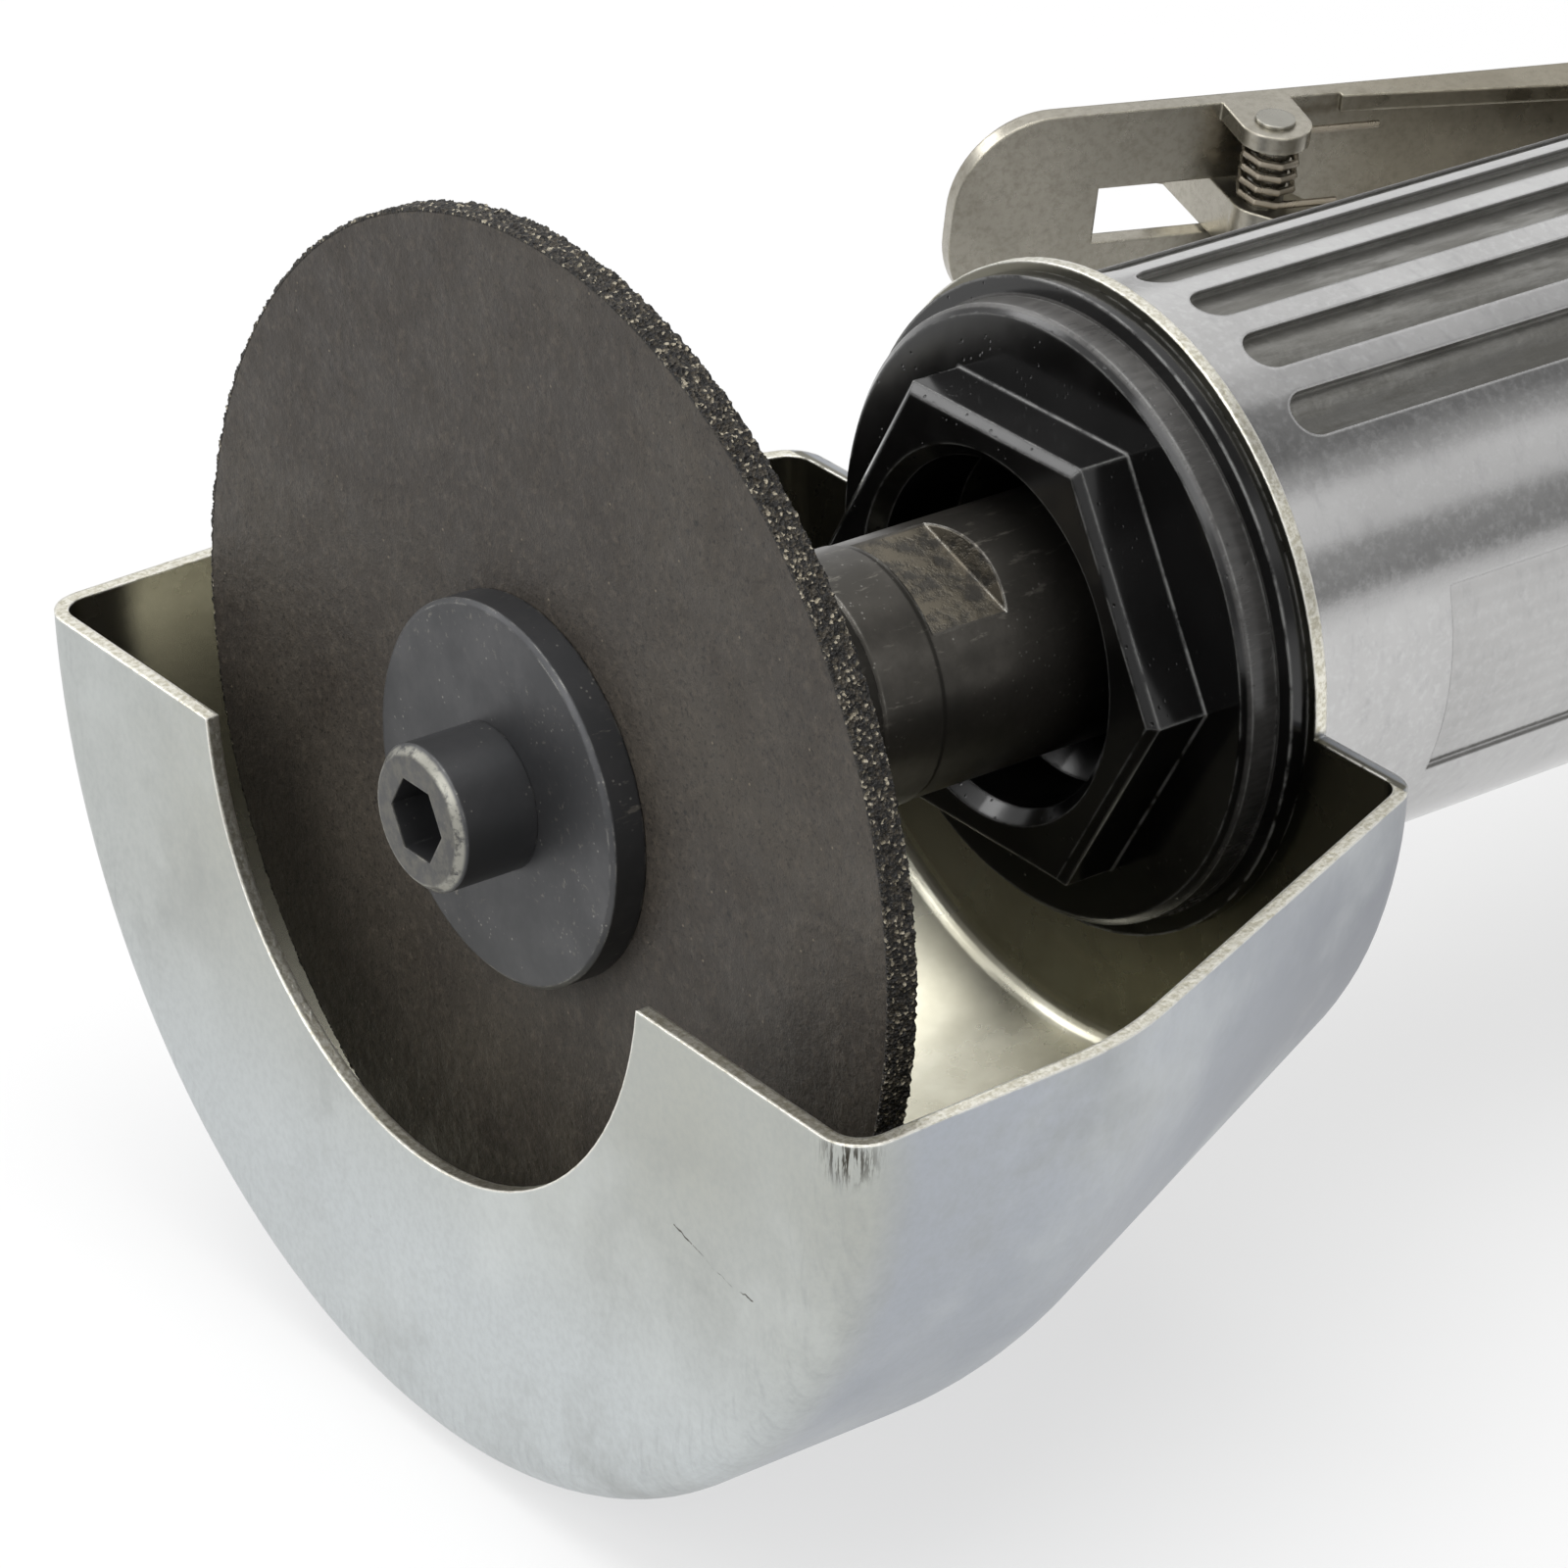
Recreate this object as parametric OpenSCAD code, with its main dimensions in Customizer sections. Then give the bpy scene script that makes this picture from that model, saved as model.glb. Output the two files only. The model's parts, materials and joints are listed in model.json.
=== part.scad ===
// In-line pneumatic cut-off tool with a half guard, lever throttle and lock-off lever.
// Origin: mouth of the air inlet, on the tool's axis. The cutting wheel lies toward -X.
// The guard opens toward +Z. The throttle lever stands toward +Y, turned a little toward +Z.

/* [Housing] */
// Length of the aluminium housing
housing_len = 115; // [113:1:122]
// Radius of the housing
housing_r = 21.6; // [21.4:0.1:22.4]
// Depth of the grip flutes
flute_depth = 0.7; // [0.4:0.1:1.2]
// Width of a grip flute
flute_w = 3.5; // [2.5:0.1:4.2]
// Angle from one flute to the next
flute_pitch = 15; // [14:0.5:17]
// Flutes on each side of the housing
flute_count = 5; // [3:2:5]
// Smooth collar ahead of the flutes
flute_start = 5.4; // [5:0.1:9]
// Length of the flutes
flute_len = 68; // [40:1:72]
// Depth of the bare recessed panel
panel_depth = 0.35; // [0.2:0.05:0.6]
// Length of the panel
panel_len = 46; // [30:1:50]
// Angle that the panel covers
panel_angle = 39; // [34:1:46]
// Turn of the panel from opposite the lever
panel_turn = 3; // [0:1:6]
// Distance from the front face to the panel
panel_start = 13.4; // [10:0.5:16]
// Direction of the lever side, from +Y toward +Z
lever_side = 8; // [0:1:20]

/* [Guard] */
// Thickness of the guard's sheet
sheet = 1; // [0.8:0.1:1.4]
// Radius of the guard over the wheel
guard_r = 46.2; // [44.5:0.1:48]
// Length of the guard along the axis
guard_len = 56.4; // [55:0.1:60]
// Length of the straight part of the skirt
guard_straight = 21.4; // [18:0.1:24]
// Radius of the skirt where it meets the rear plate
guard_rear_r = 33; // [31:0.1:35]
// Radius of the front bend
guard_bend_r = 3; // [2:0.1:5]
// Radius of the blend from the straight part to the taper
guard_blend_r = 24; // [15:1:30]
// Radius of the cut-out in the front plate
cutout_r = 24.6; // [22:0.1:27]
// Height of the rear plate's round top beyond the washer
plate_top_over = 0.7; // [0.4:0.1:2]
// Height of the opening's edge at the front, under the axis
edge_front_z = 2.6; // [1:0.1:4]
// Height of the opening's edge at the rear, under the axis
edge_rear_z = 0.6; // [0:0.1:2]

/* [Wheel and fasteners] */
// Radius of the cutting wheel
wheel_r = 38.1; // [36:0.1:39]
// Thickness of the cutting wheel
wheel_t = 2.3; // [1.6:0.1:3.2]
// Radius of the wheel's arbor hole
arbor_r = 4.76; // [4.5:0.01:4.9]
// Radius of the clamping flanges
flange_r = 13.1; // [11:0.1:15]
// Thickness of the outer flange
outer_flange_t = 2.6; // [2:0.1:3.5]
// Thickness of the inner flange's disc
inner_flange_t = 3.6; // [3:0.1:4.2]
// Radius of the cap screw's head
screw_head_r = 5; // [4.8:0.1:5.4]
// Height of the cap screw's head
screw_head_h = 6; // [5:0.1:6]
// Radius of the cap screw's shank
screw_r = 3; // [2.8:0.1:3.1]
// Length of the cap screw under its head
screw_len = 20; // [14:1:22]
// Width of the hex socket across its flats
hex_key = 5; // [4:0.5:5]
// Distance from the housing's front face to the wheel's seat
nose_reach = 45.1; // [44:0.1:48]

/* [Spindle] */
// Radius of the spindle
spindle_r = 8.9; // [8.5:0.1:9]
// Width across the two wrench flats
flats_w = 15; // [14:0.1:16]
// Length of the wrench flats
flats_len = 6.2; // [5:0.1:7]
// Direction of the wrench flats, from -Y toward +Z
flats_turn = 71; // [0:1:90]
// Length of the inner flange from its seat to the spindle's collar
inner_flange_len = 19.9; // [18:0.1:20]

/* [Clamp nut] */
// Width of the nut's hexagon across its flats
nut_af = 31; // [30:0.1:33]
// Height of the nut's hexagon
nut_hex_h = 4.6; // [4:0.1:6]
// Reach of the nut's flange beyond the housing's side
nut_over = 0.3; // [0:0.1:0.6]
// Thickness of the nut's flange
nut_flange_t = 2.7; // [2.2:0.1:3.2]
// Reach of the washer beyond the nut's flange
washer_over = 1.4; // [0.8:0.1:1.8]
// Thickness of the washer between the nut and the guard
washer_t = 1.5; // [1:0.1:2]
// Radius of the nut's threaded spigot
spigot_r = 17.6; // [17.2:0.1:18]
// Length of the nut's spigot behind the guard's plate
spigot_len = 9.6; // [8:0.1:10]
// Radius of the nut's mouth
nut_mouth_r = 12.4; // [11.5:0.1:13]

/* [Motor] */
// Length of the cylinder liner
liner_len = 42; // [38:0.5:43]
// Outer radius of the liner and the end plates
liner_r = 16.5; // [16.3:0.1:16.6]
// Radius of the liner's bore
liner_bore_r = 13.2; // [13.1:0.1:13.4]
// Offset of the liner's bore from the axis
liner_offset = 1.5; // [1.4:0.1:1.5]
// Radius of the rotor
rotor_r = 11.5; // [11:0.1:11.5]
// Thickness of a rotor blade
blade_t = 1.6; // [1.2:0.1:2]
// Height of a rotor blade
blade_h = 5.6; // [4.5:0.1:5.6]
// Thickness of the end plates
plate_t = 8; // [7.5:0.1:8.4]
// Width of both bearings
bearing_w = 5; // [4:0.5:5]

/* [Throttle] */
// Distance from the inlet mouth to the lever's hinge
hinge_back = 27.8; // [27:0.1:29]
// Height of the lever's hinge above the axis
hinge_n = 20.5; // [20.3:0.1:21]
// Angle of the lever above the housing at rest
lever_tilt = 16.3; // [14:0.1:17]
// Reach of the lever in front of its hinge
lever_reach = 77; // [70:0.5:82]
// Width of the lever
lever_w = 17.6; // [17:0.1:19]
// Thickness of the lever's sheet
lever_t = 1.4; // [1.2:0.1:1.6]
// Height of the lever's plate over its hinge pin
lever_rise = 5; // [4.9:0.1:5.6]
// Radius of the lever's front corners
lever_corner_r = 7.6; // [5:0.1:8]
// Radius of the hinge pin
pin_r = 2; // [1.8:0.1:2.1]
// Distance from the hinge to the lock-off lever's pin
lock_reach = 53; // [50:0.5:56]
// Depth of the lock-off lever's pin under the lever's plate
lock_drop = 4.2; // [4:0.1:4.6]
// Radius of the lock-off lever's pin
lock_pin_r = 1.5; // [1.3:0.1:1.6]
// Length of the lock-off lever's leg
lock_leg = 12.5; // [11.5:0.1:12.8]
// Rearward lean of the leg, from the perpendicular to the lever
lock_lean = 36.3; // [34:0.1:42]
// Width of the lock-off lever
lock_w = 4.2; // [3.6:0.1:4.4]
// Wire of the lock-off lever's spring
wire_d = 0.6; // [0.5:0.05:0.7]
// Curls of the lock-off lever's spring
spring_curls = 3.5; // [2.5:1:3.5]
// Distance from the hinge to the valve stem
stem_reach = 13; // [12.5:0.1:13.5]
// Radius of the valve stem
stem_r = 2; // [1.8:0.1:2.2]

/* [Rear end] */
// Length of the inlet bushing's hexagon
inlet_hex_len = 6.5; // [5:0.1:10]
// Width of the inlet bushing's hexagon across its flats
inlet_af = 20.6; // [20:0.1:22]
// Radius of the inlet's threaded hole
inlet_r = 5.55; // [5:0.05:5.8]
// Depth of the inlet's threaded hole
inlet_depth = 11; // [9:0.5:12]
// Thickness of the rear cover
cover_t = 2.5; // [2:0.1:3]
// Radius of the rear cover
cover_r = 18.6; // [18:0.1:19]
// Radius of an exhaust hole
exhaust_r = 1.8; // [1.4:0.1:2]

/* [Hidden] */
$fn = 72;

// Gap of a sliding fit between two round pieces
fit_gap = 0.05;
// Gap of a piece pressed onto another
press_gap = 0.02;
// Gap between pieces that are only near each other
air_gap = 0.3;
// Overrun of every cut past the face that it opens
over = 1;
// Depth to which joined forms run into each other
sink = 0.5;

// Stations along the axis, from the inlet mouth toward the wheel
house_rear_x = -inlet_hex_len - cover_t;
house_front_x = house_rear_x - housing_len;
guard_rear_x = house_front_x;
flange_rear_x = house_front_x - sheet;
nut_rim_x = flange_rear_x - washer_t;
nut_face_x = nut_rim_x - nut_flange_t;
hex_front_x = nut_face_x - nut_hex_h;
spigot_end_x = house_front_x + spigot_len;
seat_x = house_front_x - nose_reach;
wheel_front_x = seat_x - wheel_t;
outer_flange_x = wheel_front_x - outer_flange_t;
collar_x = seat_x + inner_flange_len;
guard_front_x = house_front_x - guard_len;
front_plate_x = spigot_end_x;
liner_x = front_plate_x + plate_t;
rear_plate_x = liner_x + liner_len;
bore_end_x = rear_plate_x + plate_t + air_gap;
motor_bore_r = liner_r + 2*fit_gap;
nut_flange_r = housing_r + nut_over;
washer_r = nut_flange_r + washer_over;
plate_top_r = washer_r + plate_top_over;

// Bearings: bore, land and outer radii, ball radius and pitch
front_shaft_r = 5;
front_race_r = 9.5;
rear_shaft_r = 4;
rear_race_r = 8;
race_wall = 1.35;
front_ball_r = 1.15;
rear_ball_r = 1;
ball_gap = 0.04;
front_balls = 9;
rear_balls = 8;

// Lever side
hinge_x = -hinge_back;
lug_half = lever_w/2 - lever_t - air_gap;
tab_swing = 12.2;
leg_swing = 2;
lug_r = lever_rise - lever_t/2 - 2*air_gap;
lug_root = lug_r + 2;
ear_r = pin_r + 1.5;
pocket_half = lever_w/2 + 0.8;
pocket_front = ear_r + 7;
pocket_rear = ear_r + 2;
pocket_floor = ear_r + 1;
pocket_h = housing_r;
window_half = lock_w/2 + 0.25;
window_front = lock_reach + tab_swing;
window_rear = lock_reach - leg_swing;
lock_ear_r = lock_pin_r + 1.3;
lock_hub_r = lock_pin_r + 1.1;
lock_pin_proud = 0.3;
tip_half = 0.8;
tab_bend = 11.6;
tab_lean = 12;
pad_run = 1.4;
pad_lean = 50;
arm_spread = 70;

// Valve
valve_x = hinge_x - stem_reach;
valve_bore_r = 5;
seat_n = 8;
feed_n = 12;
feed_r = 2.2;
plug_top_n = -9;
poppet_n = 4;
poppet_r = 4.2;
poppet_gap = 0.8;
port_r = stem_r + 1.4;
stem_play = 0.43;
stem_top_n = hinge_n + (lever_rise - lever_t/2)/cos(lever_tilt) + stem_reach*tan(lever_tilt) - stem_play;
stem_seal_r = 0.36;
plug_slot = 1.2;
regulator_x = -24;
regulator_r = 5;
regulator_top_n = 7;
passage_r = 3.4;
exhaust_at_r = motor_bore_r - 0.2;
exhaust_turns = [70, 110, 250, 290];
exhaust_back = 6;
inlet_thread_r = 8;
inlet_thread_len = 8.5;
muffler_in = 13.4;
muffler_depth = 3.4;

// A solid turned about the tool's axis from points of [radius, station]
module turned(points) {
    rotate([0, 90, 0]) rotate_extrude() polygon(points);
}

// A cylinder along the tool's axis, from one station to another
module rod(x0, x1, r) {
    translate([x0, 0, 0]) rotate([0, 90, 0]) cylinder(h = x1 - x0, r = r);
}

// A hexagonal prism along the tool's axis with flats toward +Z and -Z
module hex_rod(x0, x1, across) {
    translate([x0, 0, 0]) rotate([0, 90, 0]) rotate([0, 0, 30])
        cylinder(h = x1 - x0, r = across/2/cos(30), $fn = 6);
}

// Children drawn with +Y toward the lever
module lever_frame() {
    rotate([lever_side, 0, 0]) children();
}

// A cylinder toward the lever, from one height to another
module post(x, n0, n1, r) {
    translate([x, n0, 0]) rotate([-90, 0, 0]) cylinder(h = n1 - n0, r = r);
}

// A cylinder across the lever, centred on its width
module cross_rod(x, n, half, r) {
    translate([x, n, -half]) cylinder(h = 2*half, r = r);
}

// Children of the lever, drawn flat with the hinge at the origin, at rest
module lever_rest() {
    lever_frame() translate([hinge_x, hinge_n, 0]) rotate([0, 0, -lever_tilt]) children();
}

// A ring about the tool's axis
module ring(x0, x1, r_in, r_out) {
    difference() {
        rod(x0, x1, r_out);
        rod(x0 - over, x1 + over, r_in);
    }
}

// A round seal ring about an axis along Z
module seal(r_mid, r_wire) {
    rotate_extrude() translate([r_mid, 0]) circle(r = r_wire, $fn = 24);
}

// Points of an arc about a centre
function arc(cx, cy, r, a0, a1, n) = [for (i = [0:n]) [cx + r*cos(a0 + (a1 - a0)*i/n),
    cy + r*sin(a0 + (a1 - a0)*i/n)]];

// The tube that winds a spring: rings of points about a path that coils along an axis
function unit(v) = v/norm(v);
function path_dir(p, i) = unit(p[min(i + 1, len(p) - 1)] - p[max(i - 1, 0)]);
function ring_at(c, t, s, r, m) = [for (k = [0:m - 1]) c + r*cos(360*k/m)*s + r*sin(360*k/m)*cross(t, s)];

module tube(path, along, r, m) {
    n = len(path);
    points = [for (i = [0:n - 1]) let (t = path_dir(path, i))
        each ring_at(path[i], t, unit(cross(along, t)), r, m)];
    walls = [for (i = [0:n - 2]) for (k = [0:m - 1]) let (a = i*m + k, b = i*m + (k + 1) % m)
        each [[a, b, b + m], [a, b + m, a + m]]];
    caps = [for (k = [1:m - 2]) each [[0, k + 1, k],
        [(n - 1)*m, (n - 1)*m + k, (n - 1)*m + k + 1]]];
    polyhedron(points = points, faces = concat(walls, caps), convexity = 10);
}

// Least distance between a tube's own curls, from points of its path
function curl_gap(path, skip, d) = min([for (i = [0:len(path) - 1 - skip])
    for (j = [i + skip:len(path) - 1]) norm(path[i] - path[j])]) - d;

// Profile of the guard's outer face and of its inner face, a sheet apart
taper_run = guard_len - guard_straight;
taper_turn = atan((guard_r - guard_rear_r)/taper_run);
blend_half = guard_blend_r*tan(taper_turn/2);
straight_end_x = guard_front_x + guard_straight;
rear_bend_r = 3;
trim_over = 10;

function guard_face(inset) = concat(
    [[0, guard_front_x + inset]],
    arc(guard_r - guard_bend_r, guard_front_x + guard_bend_r, guard_bend_r - inset, -90, 0, 8),
    arc(guard_r - guard_blend_r, straight_end_x - blend_half, guard_blend_r - inset, 0, taper_turn, 8),
    arc(guard_rear_r + rear_bend_r*(tan(taper_turn) - 1/cos(taper_turn)), guard_rear_x - rear_bend_r,
        rear_bend_r - inset, taper_turn, 90, 6),
    [[0, guard_rear_x - inset]]);

module guard_shell() {
    difference() {
        turned(guard_face(0));
        turned(guard_face(sheet));
    }
}

module guard() {
    slope = atan((edge_front_z - edge_rear_z)/guard_len);
    color([0.78, 0.81, 0.84]) difference() {
        union() {
            difference() {
                guard_shell();
                translate([guard_front_x, 0, -edge_front_z]) rotate([0, -slope, 0])
                    translate([-trim_over, -2*guard_r, 0])
                        cube([guard_len + 2*trim_over, 4*guard_r, 2*guard_r]);
            }
            rod(guard_rear_x - sheet, guard_rear_x, plate_top_r);
        }
        rod(guard_front_x - over, guard_front_x + sheet + over, cutout_r);
        rod(guard_rear_x - sheet - over, guard_rear_x + over, spigot_r + air_gap);
    }
}

module flute(turn) {
    rotate([turn, 0, 0]) translate([house_front_x + flute_start + flute_w/2, 0, housing_r - flute_depth])
        linear_extrude(height = flute_depth + over) union() {
            circle(d = flute_w, $fn = 32);
            translate([0, -flute_w/2]) square([flute_len - flute_w, flute_w]);
            translate([flute_len - flute_w, 0]) circle(d = flute_w, $fn = 32);
        }
}

// Flutes lie on both sides, a quarter turn from the lever
module flutes() {
    for (side = [0, 180])
        for (i = [0:flute_count - 1])
            flute(side + (i - (flute_count - 1)/2)*flute_pitch);
}

// The bare panel lies opposite the lever
module panel_recess() {
    x0 = house_front_x + panel_start;
    rotate([0, 90, 0]) rotate([0, 0, -90 - panel_turn - panel_angle/2])
        rotate_extrude(angle = panel_angle) translate([housing_r - panel_depth, x0])
            square([panel_depth + over, panel_len]);
}

module housing_bores() {
    rod(house_front_x - over, spigot_end_x, spigot_r + 2*fit_gap);
    rod(spigot_end_x - over, bore_end_x, motor_bore_r);
    rod(house_rear_x - inlet_thread_len - air_gap, house_rear_x + over, inlet_thread_r + fit_gap);
    rod(valve_x, house_rear_x, passage_r);
    post(valve_x, -housing_r - over, seat_n, valve_bore_r + fit_gap);
    post(valve_x, 0, housing_r + over, stem_r + fit_gap);
    post(regulator_x, -housing_r - over, regulator_top_n, regulator_r + fit_gap);
    translate([0, feed_n, 0]) rod(bore_end_x - over, valve_x, feed_r);
    post(valve_x, seat_n - over, feed_n + feed_r + over, port_r);
    for (turn = exhaust_turns)
        rotate([turn, 0, 0]) translate([0, exhaust_at_r, 0])
            rod(liner_x + exhaust_back, house_rear_x + over, exhaust_r);
    ring(house_rear_x - muffler_depth, house_rear_x + over, muffler_in - air_gap, cover_r + fit_gap);
}

// Rear corner of the housing, as steps in from its side and its rear face
rear_corner = [[0, 5], [0.7, 2], [1.8, 0]];
front_chamfer = 0.5;

module housing_blank() {
    turned(concat(
        [[0, house_front_x], [housing_r - front_chamfer, house_front_x],
            [housing_r, house_front_x + front_chamfer]],
        [for (p = rear_corner) [housing_r - p[0], house_rear_x - p[1]]],
        [[0, house_rear_x]]));
    cross_rod(hinge_x, hinge_n, lug_half, lug_r);
    translate([hinge_x - lug_r, hinge_n - lug_root, -lug_half]) cube([2*lug_r, lug_root, 2*lug_half]);
}

module housing() {
    color([0.80, 0.81, 0.82]) lever_frame() difference() {
        housing_blank();
        housing_bores();
        flutes();
        panel_recess();
        cross_rod(hinge_x, hinge_n, lug_half + over, pin_r + press_gap);
        for (side = [-1, 1])
            translate([hinge_x - pocket_front, hinge_n - pocket_floor, side > 0 ? lug_half : -pocket_half])
                cube([pocket_front + pocket_rear, pocket_h, pocket_half - lug_half]);
    }
}

nut_chamfer = 0.6;
hex_bevel = 0.6;
mouth_chamfer = 1;
nut_bore_r = spindle_r + 0.7;

// The nut's hexagon, cut back at 45 degrees along the edges of its front face
module bevelled_hexagon() {
    reach = nut_hex_h + sink + 2*over;
    tip = nut_af/2 - hex_bevel - over;
    intersection() {
        hex_rod(hex_front_x, nut_face_x + sink, nut_af);
        translate([hex_front_x - over, 0, 0]) rotate([0, 90, 0]) rotate([0, 0, 30])
            cylinder(h = reach, r1 = tip/cos(30), r2 = (tip + reach)/cos(30), $fn = 6);
    }
}

module clamp_nut() {
    color([0.06, 0.06, 0.07]) difference() {
        union() {
            bevelled_hexagon();
            turned([[0, nut_face_x], [nut_flange_r - nut_chamfer, nut_face_x],
                [nut_flange_r, nut_face_x + nut_chamfer],
                [nut_flange_r, nut_rim_x], [0, nut_rim_x]]);
            rod(nut_rim_x - sink, spigot_end_x, spigot_r);
        }
        turned([[0, hex_front_x - over], [nut_mouth_r + mouth_chamfer, hex_front_x - over],
            [nut_mouth_r + mouth_chamfer, hex_front_x], [nut_mouth_r, hex_front_x + mouth_chamfer],
            [nut_mouth_r, nut_rim_x], [nut_bore_r, nut_rim_x + nut_mouth_r - nut_bore_r],
            [nut_bore_r, spigot_end_x + over], [0, spigot_end_x + over]]);
    }
}

module clamp_washer() {
    color([0.05, 0.05, 0.05]) ring(nut_rim_x, flange_rear_x, spigot_r + fit_gap, washer_r);
}

race_shoulder = 1.4;

module front_end_plate() {
    color([0.55, 0.56, 0.58]) difference() {
        rod(front_plate_x, liner_x, liner_r);
        rod(front_plate_x - over, front_plate_x + bearing_w, front_race_r + press_gap);
        rod(front_plate_x, liner_x + over, front_race_r - race_shoulder);
    }
}

module rear_end_plate() {
    color([0.55, 0.56, 0.58]) difference() {
        rod(rear_plate_x, rear_plate_x + plate_t, liner_r);
        rod(rear_plate_x + plate_t - bearing_w, rear_plate_x + plate_t + over, rear_race_r + press_gap);
        rod(rear_plate_x - over, rear_plate_x + plate_t, rear_race_r - race_shoulder);
        lever_frame() translate([0, -locating_n, 0])
            rod(rear_plate_x - over, rear_plate_x + pin_in_plate + pin_spare, pin_hole_r);
        lever_frame() translate([0, feed_n, 0])
            rod(rear_plate_x - over, rear_plate_x + plate_t + over, plate_feed_r);
    }
}

plate_feed_r = feed_r - 0.2;
locating_n = liner_r - 2.2;
locating_r = 1;
pin_hole_r = locating_r + press_gap;
pin_in_plate = 5.5;
pin_in_liner = 4;
pin_spare = 0.5;

module locating_pin() {
    color([0.6, 0.6, 0.6]) lever_frame() translate([0, -locating_n, 0])
        rod(rear_plate_x - pin_in_liner, rear_plate_x + pin_in_plate, locating_r);
}

// Ports through the liner's wall, in rows along it
port_turns = [70, 110];
port_count = 6;
port_hole_r = 1.5;

module cylinder_liner() {
    port_step = liner_len/(port_count + 1);
    color([0.45, 0.46, 0.48]) lever_frame() difference() {
        rod(liner_x, rear_plate_x, liner_r);
        translate([0, liner_offset, 0]) rod(liner_x - over, rear_plate_x + over, liner_bore_r);
        translate([0, -locating_n, 0])
            rod(rear_plate_x - pin_in_liner - pin_spare, rear_plate_x + over, pin_hole_r);
        for (turn = port_turns)
            for (i = [1:port_count])
                rotate([turn, 0, 0])
                    post(liner_x + i*port_step, liner_bore_r - 2*liner_offset, liner_r + over, port_hole_r);
    }
}

module outer_race(x0, r_in, r_out, pitch, ball) {
    color([0.7, 0.71, 0.73]) difference() {
        ring(x0, x0 + bearing_w, r_in, r_out);
        translate([x0 + bearing_w/2, 0, 0]) rotate([0, 90, 0]) seal(pitch, ball + ball_gap);
    }
}

module balls(x0, pitch, r, count) {
    color([0.75, 0.76, 0.78])
        for (i = [0:count - 1])
            translate([x0 + bearing_w/2, 0, 0]) rotate([i*360/count, 0, 0]) translate([0, pitch, 0])
                sphere(r = r, $fn = 32);
}

front_pitch = (front_shaft_r + front_race_r)/2;
rear_pitch = (rear_shaft_r + rear_race_r)/2;
rear_bearing_x = rear_plate_x + plate_t - bearing_w;

module front_outer_race() {
    outer_race(front_plate_x, front_race_r - race_wall, front_race_r, front_pitch, front_ball_r);
}

module rear_outer_race() {
    outer_race(rear_bearing_x, rear_race_r - race_wall, rear_race_r, rear_pitch, rear_ball_r);
}

module front_inner_race() {
    outer_race(front_plate_x, front_shaft_r + press_gap, front_shaft_r + race_wall,
        front_pitch, front_ball_r);
}

module rear_inner_race() {
    outer_race(rear_bearing_x, rear_shaft_r + press_gap, rear_shaft_r + race_wall, rear_pitch, rear_ball_r);
}

module front_bearing_balls() {
    balls(front_plate_x, front_pitch, front_ball_r, front_balls);
}

module rear_bearing_balls() {
    balls(rear_bearing_x, rear_pitch, rear_ball_r, rear_balls);
}

blade_count = 4;
rotor_gap = 0.2;
shaft_step = 1;
shaft_front_x = front_plate_x - 14;
blade_depth_r = rotor_r - blade_h - fit_gap;

module rotor() {
    x0 = liner_x + rotor_gap;
    x1 = rear_plate_x - rotor_gap;
    color([0.5, 0.5, 0.52]) difference() {
        union() {
            rod(x0, x1, rotor_r);
            rod(front_plate_x + bearing_w, x0 + sink, front_shaft_r + shaft_step);
            rod(x1 - sink, rear_bearing_x, rear_shaft_r + shaft_step);
            rod(shaft_front_x, x0, front_shaft_r);
            rod(x1, rear_bearing_x + bearing_w, rear_shaft_r);
        }
        for (i = [0:blade_count - 1])
            rotate([i*360/blade_count, 0, 0])
                translate([x0 - over, blade_depth_r - fit_gap, -blade_t/2 - fit_gap])
                    cube([x1 - x0 + 2*over, blade_h + over, blade_t + 2*fit_gap]);
    }
}

module rotor_blade(i) {
    color([0.45, 0.30, 0.16]) rotate([i*360/blade_count, 0, 0])
        translate([liner_x + rotor_gap, blade_depth_r, -blade_t/2])
            cube([liner_len - 2*rotor_gap, blade_h, blade_t]);
}

stub_r = 6;
stub_x = seat_x + inner_flange_t + 0.8;
flats_x = collar_x + 5.5;
flats_slope = 1.4;
collar_over = 0.1;
collar_chamfer = 0.3;
collar_run = 0.6;
collar_gap = 0.2;
neck_len = 3;
neck_r = front_shaft_r + race_wall - 0.1;
tapped_depth = 16;
tapped_r = screw_r + 0.04;
socket_r = front_shaft_r + 0.03;
socket_spare = 1.5;

module spindle() {
    color([0.16, 0.16, 0.17]) difference() {
        union() {
            rod(stub_x, collar_x, stub_r);
            turned([[0, collar_x], [spindle_r - collar_over, collar_x],
                [spindle_r + collar_over, collar_x + collar_chamfer],
                [spindle_r + collar_over, flats_x - collar_run], [spindle_r, flats_x - collar_gap],
                [spindle_r, front_plate_x - neck_len], [neck_r, front_plate_x - neck_len],
                [neck_r, front_plate_x], [0, front_plate_x]]);
        }
        for (turn = [0, 180])
            rotate([90 - flats_turn + turn, 0, 0]) flat_cut();
        rod(stub_x - over, stub_x + tapped_depth, tapped_r);
        rod(shaft_front_x - socket_spare, front_plate_x + over, socket_r);
    }
}

// One wrench flat with a sloped rear end, as the cutter leaves it
module flat_cut() {
    rotate([90, 0, 0]) linear_extrude(height = 3*spindle_r, center = true)
        polygon([[flats_x, flats_w/2], [flats_x + flats_len, flats_w/2],
            [flats_x + flats_len + flats_slope, spindle_r + over], [flats_x, spindle_r + over]]);
}

// The inner flange: pilot in the wheel, disc, step and cone back to the spindle's collar
pilot_r = arbor_r - fit_gap;
pilot_x = wheel_front_x + 0.4;
cone_front_r = flange_r - 2.4;
cone_front_x = seat_x + inner_flange_t + 1;
cone_rear_r = spindle_r + 0.5;
cone_rear_x = collar_x - 1.2;

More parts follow.
